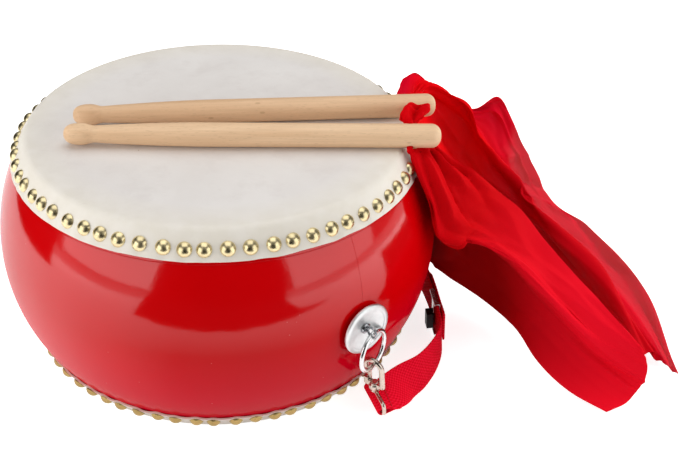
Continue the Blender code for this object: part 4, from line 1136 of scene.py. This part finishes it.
def strap_end(line, widths):
    """The sewn tail and the turn round the bar, from the tail's cut end up to the bar's far side."""
    ahead = (line[4] - line[0]).normalized()
    face = ahead.cross(widths[0]).normalized()
    ahead = widths[0].cross(face).normalized()
    bar = line[0] - face * STRAP_TURN
    beside = STRAP_THICKNESS + STRAP_LAYER_GAP
    stations = range(2, int(STRAP_TAIL / STRAP_STEP))
    tail = []
    for i in stations:
        normal = strap_face(line, widths, i, reach=2)
        narrowing = 1 - smoothstep(0.0, STRAP_RUN_OUT, i * STRAP_STEP)
        tail.append(line[i] - normal * (beside + narrowing * (2 * STRAP_TURN - beside)))
    bend = [bar - face * x - ahead * y for x, y in arc((0.0, 0.0), STRAP_TURN, 0.0, pi, count=18)]
    return tail[::-1] + bend, [widths[i] for i in reversed(stations)] + [widths[0]] * len(bend)


def strap_tail(line, widths):
    """The strap's free tail, which lies on the outer face and covers the slider's outer bars."""
    stations = range(int(TAIL_SPAN[0] / STRAP_STEP), int(TAIL_SPAN[1] / STRAP_STEP))
    up, level, down, flat = TAIL_RISE
    places = []
    for i in stations:
        out = strap_face(line, widths, i, reach=4)
        station = i * STRAP_STEP
        rise = smoothstep(up, level, station) - smoothstep(down, flat, station)
        places.append(line[i] + out * (TAIL_OFFSET + TAIL_LIFT * rise))
    return places, [widths[i] for i in stations]


def webbing_mesh(name, places, widths):
    """Flat woven strip with rounded edges and cross ribs."""
    half = STRAP_WIDTH / 2
    edge = STRAP_THICKNESS / 2
    rounded = SELVEDGE_SHARE * edge
    section = [(-half, 0.0), (-half + SELVEDGE_ROUND, rounded), (-half + SELVEDGE, edge), (-half * 0.5, edge),
               (0.0, edge), (half * 0.5, edge), (half - SELVEDGE, edge), (half - SELVEDGE_ROUND, rounded)]
    section += [(-u, -v) for u, v in section]
    count = len(section)
    vertices = []
    distances = []
    travelled = 0.0
    for i, (place, width) in enumerate(zip(places, widths)):
        if i:
            travelled += (place - places[i - 1]).length
        distances.append(travelled)
        along = chord(places, i).normalized()
        width = squared(width, along)
        normal = along.cross(width).normalized()
        rib = 1 + STRAP_RIB / edge * cos(2 * pi * travelled / STRAP_RIB_PITCH)
        for u, v in section:
            vertices.append(place + width * u + normal * (v * rib))
    mesh = make_mesh(name, vertices, swept_faces(len(places), count), WEBBING_SHARP_ANGLE)

    def weave(index):
        row, column = divmod(index, count)
        return distances[row] / STRAP_RIB_PITCH, section[column][0] / STRAP_WALE_PITCH

    map_mesh(mesh, "weave", weave)
    return mesh


def stitch_mesh(name, line, widths):
    """A row of thread across the strap's sewn end, on both of its faces."""
    i = int(STITCH_ROW / STRAP_STEP)
    width = widths[i]
    normal = strap_face(line, widths, i, reach=2)
    solids = []
    for k in range(STITCHES):
        for face in (1.0, -1.0):
            centre = line[i] + width * (k - (STITCHES - 1) / 2) * STITCH_PITCH
            if face < 0:
                centre = centre - normal * (STRAP_THICKNESS + STRAP_LAYER_GAP)
            surface = centre + normal * face * (STRAP_THICKNESS / 2 + STITCH_SEAT)
            points = [surface + width * STITCH_HALF * t + normal * face * STITCH_BULGE * (1 - t * t)
                      for t in (-1.0, -0.5, 0.0, 0.5, 1.0)]
            solids.append(tube(points, THREAD_RADIUS, sides=8))
    return make_mesh(name, *joined(*solids))


def make_strap():
    """Two halves that meet behind the drum, with the slider and the strap's free tail."""
    line, widths = strap_line()
    back_line = line[::-1]
    back_widths = [-w for w in reversed(widths)]
    cut = len(line) // 2
    reach = int(STRAP_BLEND_REACH / STRAP_STEP)
    pieces = {}
    for side, path, across in (("front", line[:cut + 1], widths[:cut + 1]),
                               ("rear", back_line[:len(line) - cut], back_widths[:len(line) - cut])):
        end_places, end_widths = strap_end(path, across)
        strip_mesh = webbing_mesh(f"strap_{side}", end_places + path[1:], end_widths + across[1:])
        strip = add_piece(f"strap_{side}", strip_mesh, WEBBING, None, "webbing", ["strap"])
        stitches = stitch_mesh(f"strap_{side}_stitches", path, end_widths[-1:] + across[1:])
        thread = add_piece(f"strap_{side}_stitches", stitches, THREAD, None, "webbing")
        for piece in (strip, thread):
            tuple(bar_centre(side))
            tuple(path[reach])
            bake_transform(piece)
        pieces[side] = (strip, thread, path)
    slider = make_slider(line, widths)
    tail_mesh = webbing_mesh("strap_tail", *strap_tail(line, widths))
    tail = add_piece("strap_tail", tail_mesh, WEBBING, None, "webbing")
    tuple(bar_centre("front"))
    tuple(line[reach])
    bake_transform(tail)
    carried = {"front": (tail, *slider), "rear": ()}
    for side, (strip, thread, path) in pieces.items():
        tuple(path[0])
        [tuple(p) for p in path[::8]]
        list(carried[side])


def make_slider(line, widths):
    """Bright slider the strap weaves through, with a black grip on its inner bar."""
    low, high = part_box("strap_slider")
    middle = (Vector(low) + Vector(high)) / 2
    reach = 10
    i = min(range(reach, len(line) - reach), key=lambda k: (line[k] - middle).length)
    along = chord(line, i, reach).normalized()
    up = squared(widths[i], along)
    seat = Matrix((along, along.cross(up).normalized(), up)).transposed().to_4x4()
    seat.translation = line[i]
    room = STRAP_THICKNESS / 2 + SLIDER_ROOM
    rail_depth, rail_width = SLIDER_RAIL
    rail_at = STRAP_WIDTH / 2 + SLIDER_CLEAR + rail_width / 2
    span = 2 * rail_at
    rail = (SLIDER_LENGTH, rail_depth, rail_width)
    rails = [box(rail, (0, -SLIDER_RAIL_INSET, z)) for z in (-rail_at, rail_at)]
    end_at = (SLIDER_LENGTH - SLIDER_BAR) / 2
    bars = [box((SLIDER_BAR, SLIDER_BAR_DEPTH, span), (x, room + SLIDER_BAR_DEPTH / 2, 0.0))
            for x in (-end_at, end_at)]
    inner_width, inner_depth = SLIDER_INNER_BAR
    inner = box((inner_width, inner_depth, span), (SLIDER_INNER_AT, -room - inner_depth / 2, 0.0))
    frame_mesh = cast("slider_frame", joined(*rails, *bars, inner))
    bright = add_piece("slider_frame", frame_mesh, BRIGHT, "slider", "bright_steel", ["strap_slider"], seat)
    grip_place = (GRIP_AT, -room - inner_depth - GRIP_SIZE[1] / 2, GRIP_RISE - rail_at)
    grip_mesh = cast("slider_grip", box(GRIP_SIZE, grip_place))
    black = add_piece("slider_grip", grip_mesh, PLASTIC, "slider", "black_plastic", (), seat)
    return black, bright


# Sticks

def stick_frame(side):
    (x, y), heading, mouth = STICK_POSES[side]
    return shift(x, y, STICK_AXIS_HEIGHT) @ turn(heading, "Z") @ turn(90, "Y") @ turn(-90.0 - mouth, "Z")


def make_stick(side):
    """A turned stick with a shaped head and a cross hole near its butt."""
    head = catmull_rom([Vector(p) for p in STICK_HEAD_LINE], 3 * (len(STICK_HEAD_LINE) - 1))
    butt = (STICK_RADIUS - STICK_BUTT_ROUND, STICK_LENGTH - STICK_BUTT_ROUND)
    profile = [(0.0, 0.0), *[(v.x, v.y) for v in head[1:]]]
    profile += [*arc(butt, STICK_BUTT_ROUND, 0.0, pi / 2, count=10), (0.0, STICK_LENGTH)]
    carrier = new_object("stick_carrier", make_mesh(f"{side}_beater", *lathe(profile, facets=56)))
    hole_at = STICK_LENGTH - STICK_HOLE_FROM_BUTT
    bore = [(x, 0, hole_at) for x in (-STICK_HOLE_REACH, STICK_HOLE_REACH)]
    hole = tube(bore, STICK_HOLE_RADIUS, sides=28)
    cutter = new_object("stick_cutter", make_mesh("stick_cutter", *hole))
    cut = carrier.modifiers.new("Hole", "BOOLEAN")
    cut.operation = "DIFFERENCE"
    cut.object = cutter
    bored = baked(carrier, cutter)
    bored.set_sharp_from_angle(angle=radians(SHARP_ANGLE))
    node = f"{side}_stick"
    add_piece(f"{side}_beater", bored, BEECH[side], node, "beech", [node], stick_frame(side))


# Scarves

def cloth_rows(folds, rows, columns):
    lines = [catmull_rom([Vector(p) / 1000 for p in fold], rows) for fold in folds]
    return [catmull_rom([line[i] for line in lines], columns) for i in range(rows + 1)]


def grid_normals(rows):
    columns = list(zip(*rows))
    return [[chord(column, i).cross(chord(row, j)).normalized() for j, column in enumerate(columns)]
            for i, row in enumerate(rows)]


def keep_clear(place):
    """A cloth point moved off the barrel, its tacks, the strap's upper edge, the floor and the sticks."""
    radius = hypot(place.x, place.y)
    height = place.z - CENTRE_HEIGHT
    if abs(height) < HALF_SHELL:
        room = shell_place(height, 0.0) + CLOTH_ROOM
        if height > HIDE_EDGE_HEIGHT:
            room += TACK_CROWN
        if radius < room:
            place = Vector((place.x * room / radius, place.y * room / radius, place.z))
    if abs(radius - STRAP_RING) < STRAP_ROOM:
        place.z = max(place.z, STRAP_CLEAR_HEIGHT)
    place.z = max(place.z, CLOTH_THICKNESS)
    room = STICK_RADIUS + STICK_ROOM
    for side in STICK_POSES:
        stick = stick_frame(side)
        inside = stick.inverted() @ place
        away = hypot(inside.x, inside.y)
        if 0.0 < inside.z < STICK_LENGTH and 0.0001 < away < room:
            place = stick @ Vector((inside.x * room / away, inside.y * room / away, inside.z))
    return place


def crease_height(creases, t, s):
    """Height of the single creases at a place across and down; each dies away towards its ends."""
    total = 0.0
    for (t_start, s_start), (t_end, s_end), height, width in creases:
        share = (s - s_start) / (s_end - s_start)
        if 0.0 < share < 1.0:
            aside = (t - t_start - (t_end - t_start) * share) / width
            ridge = height * exp(-abs(aside) ** CREASE_POWER)
            total += ridge * smoothstep(0.0, CREASE_START, share) * (1 - smoothstep(CREASE_FADE, 1.0, share))
    return total


def crumple(rows, seed, pleats, depth, creases=(), facets=0.0):
    """Gathers that fan out from the knot and die away, single creases, flat facets and slow waves."""
    normals = grid_normals(rows)
    last = len(rows) - 1
    creased = []
    for i, (row, line) in enumerate(zip(rows, normals)):
        s = i / last
        gather = depth * smoothstep(0.0, GATHER_START, s) * (1 - GATHER_LOSS * smoothstep(*GATHER_FADE, s))
        new_row = []
        for j, (place, normal) in enumerate(zip(row, line)):
            t = j / (len(row) - 1)
            drift = noise.noise(Vector((t * 2.5, s * 2.2, seed))) * DRIFT
            fold = 1 - 2 * abs(sin(pi * (pleats * t + drift))) ** PLEAT_POWER
            strength = PLEAT_LEAST + abs(noise.noise(Vector((t * 3.0, s * 1.3, seed + 7.0))))
            wave = noise.noise(Vector((t * 3.2, s * 4.0, seed + 13.0))) * SLOW_WAVE
            near, far = noise.voronoi(Vector((4.5 * t + 1.4 * s, 3.4 * s, seed)))[0][:2]
            facet = facets * (min(1.0, FACET_EDGE * (far - near)) - FACET_LEVEL) * smoothstep(*FACET_START, s)
            height = gather * fold * strength + wave * smoothstep(*SLOW_WAVE_START, s) + facet
            new_row.append(keep_clear(place + normal * (height + crease_height(creases, t, s))))
        creased.append(new_row)
    return creased


def cloth_solid(rows, hem_width):
    """A thin sheet of two faces, a little thicker along its hemmed edges."""
    normals = grid_normals(rows)
    count = len(rows[0])
    vertices = []
    for face in (0.5, -0.5):
        for i, row in enumerate(rows):
            for j, place in enumerate(row):
                from_edge = min(j, count - 1 - j) * (row[1] - row[0]).length
                from_hem = (len(rows) - 1 - i) * (rows[-1][j] - rows[-2][j]).length
                hem = 1.0 if min(from_edge, from_hem) < hem_width else 0.0
                thickness = CLOTH_THICKNESS * (1 + HEM_EXTRA * hem)
                vertices.append(place + normals[i][j] * face * thickness)
    faces = []
    offset = len(rows) * count
    grid = [range(i * count, (i + 1) * count) for i in range(len(rows))]
    for upper, lower in zip(grid, grid[1:]):
        for a, b, c, d in zip(upper, upper[1:], lower[1:], lower):
            faces.append((a, b, c, d))
            faces.append((offset + d, offset + c, offset + b, offset + a))
    border = [*grid[0], *[line[-1] for line in grid[1:]], *grid[-1][-2::-1]]
    border += [line[0] for line in grid[-2:0:-1]]
    for a, b in zip(border, border[1:] + border[:1]):
        faces.append((b, a, offset + a, offset + b))
    return vertices, faces


def knot_solid(matrix):
    """A small tight knot, creased along its length."""
    bends = [pi * i / 12 for i in range(13)]
    profile = [(KNOT_RADIUS * sin(a), -KNOT_RADIUS * cos(a)) for a in bends]

    def crease(r, z, a):
        return r * (1 + KNOT_CREASE * sin(KNOT_CREASES * a + KNOT_TWIST * z)), z

    return moved(lathe(profile, 40, crease), matrix)


def make_scarf(side, folds, gather, creases, facets, material):
    """A scarf's gathered cloth, and the tie that goes through the stick's hole to its end."""
    rows = crumple(cloth_rows(folds, CLOTH_ROWS, CLOTH_COLUMNS), *gather, creases, facets)
    body = f"{side}_stick"
    hole = stick_frame(side) @ shift(0, 0, STICK_LENGTH - STICK_HOLE_FROM_BUTT)
    mouth = hole @ Vector((STICK_RADIUS + TIE_MOUTH, 0.0, 0.0))
    into = rows[2][int(TIE_COLUMN * CLOTH_COLUMNS)]
    line = [hole @ Vector((-STICK_RADIUS - TIE_END, 0.0, 0.0)), hole @ Vector((0.0, 0.0, 0.0)), mouth,
            (mouth + into) / 2, into]
    tie = tube(catmull_rom(line, 24), TIE_RADIUS, sides=14)
    if side == "front":
        end = cloth_solid(crumple(cloth_rows(PETAL_FOLDS, *PETAL_GRID), *PETAL_GATHER), 0.0)
    else:
        end = knot_solid(hole @ shift(-STICK_RADIUS - KNOT_SINK, 0, 0))
    cloth = make_mesh(f"{side}_scarf_cloth", *cloth_solid(rows, HEM_WIDTH), CLOTH_SHARP_ANGLE)
    count = CLOTH_COLUMNS + 1

    def place(index):
        row, column = divmod(index % (count * (CLOTH_ROWS + 1)), count)
        return column / CLOTH_COLUMNS, row / CLOTH_ROWS

    map_mesh(cloth, "cloth", place)
    sheet = add_piece(f"{side}_scarf_cloth", cloth, material, body, "chiffon", [f"{side}_scarf"])
    knot_mesh = make_mesh(f"{side}_scarf_knot", *joined(tie, end), CLOTH_SHARP_ANGLE)
    knot = add_piece(f"{side}_scarf_knot", knot_mesh, KNOT_CLOTH, body, "chiffon")


# Stage

def make_camera():
    data = bpy.data.cameras.new("camera")
    data.lens = CAMERA_LENS
    data.sensor_width = SENSOR_WIDTH
    data.sensor_fit = "HORIZONTAL"
    data.clip_start = CLIP_START
    camera = new_object("camera", data)
    right = Vector(CAMERA_RIGHT)
    up = Vector(CAMERA_UP)
    matrix = Matrix((right, up, right.cross(up))).transposed().to_4x4()
    matrix.translation = Vector(CAMERA_EYE)
    camera.matrix_world = matrix
    bpy.context.scene.camera = camera


def make_light(name, azimuth, elevation, distance, width, height, watts, reflected):
    data = bpy.data.lights.new(name, "AREA")
    data.shape = "RECTANGLE"
    data.size = width
    data.size_y = height
    data.energy = watts
    light = new_object(name, data)
    a = radians(azimuth)
    e = radians(elevation)
    away = Vector((sin(a) * cos(e), -cos(a) * cos(e), sin(e)))
    light.location = Vector(LIGHT_TARGET) + away * distance
    light.rotation_euler = away.to_track_quat("Z", "Y").to_euler()
    light.visible_camera = False
    light.visible_glossy = reflected


def make_panel(name, corners, material):
    """One flat face for the floor or a card."""
    mesh = bpy.data.meshes.new(name)
    mesh.from_pydata(corners, [], [tuple(range(len(corners)))])
    mesh.materials.append(material)
    panel = new_object(name, mesh)
    return panel


def make_stage():
    """A white floor, black cards that only reflections show, one of them lying on the floor as painted shade,
    a dim world and the lights.
    """
    floor = make_material("floor", (0.86, 0.86, 0.86), 0.9, Specular_IOR_Level=0.0)
    g = Graph(floor)
    path = g.node("ShaderNodeLightPath").outputs
    seen = g.math("MAXIMUM", path["Is Camera Ray"], path["Is Transmission Ray"])
    mirrored = g.times(path["Is Glossy Ray"], FLOOR_GLOW)
    g.set("Emission Color", (1.0, 1.0, 1.0, 1.0))
    g.set("Emission Strength", g.math("MAXIMUM", g.times(seen, FLOOR_WHITE), mirrored))
    sides = ((-1, -1), (1, -1), (1, 1), (-1, 1))
    make_panel("floor", [(FLOOR_HALF * x, FLOOR_HALF * y, -FLOOR_DROP) for x, y in sides], floor)
    dark = make_material("dark_card", (0.01, 0.01, 0.01), 1.0, Specular_IOR_Level=0.0)
    for name, corners in CARDS.items():
        card = make_panel(name, corners, dark)
        for ray in ("camera", "diffuse", "transmission", "shadow"):
            setattr(card, f"visible_{ray}", False)
    world = bpy.data.worlds.new("studio")
    world.use_nodes = True
    background = world.node_tree.nodes["Background"].inputs
    background["Color"].default_value = (1.0, 1.0, 1.0, 1.0)
    background["Strength"].default_value = WORLD_STRENGTH
    bpy.context.scene.world = world
    for name, settings in LIGHTS.items():
        make_light(name, *settings)


make_camera()
make_stage()
make_shell()
make_head("upper_hide", "top", 1)
make_head("lower_hide", "bottom", -1)
make_tacks("upper_tack_domes", "top", 1, TACK_RADIUS, TACK_CROWN, BRASS)
make_tacks("lower_tack_domes", "bottom", -1, LOWER_TACK_RADIUS, LOWER_TACK_CROWN, SHADED_BRASS)
make_ring_pulls()
make_strap()
make_stick("front")
make_stick("rear")
make_scarf("front", FRONT_FOLDS, FRONT_GATHER, FRONT_CREASES, FRONT_FACETS, CHIFFON_FRONT)
make_scarf("rear", REAR_FOLDS, REAR_GATHER, REAR_CREASES, REAR_FACETS, CHIFFON_REAR)

bpy.context.scene.view_settings.view_transform = "Standard"
bpy.context.view_layer.update()
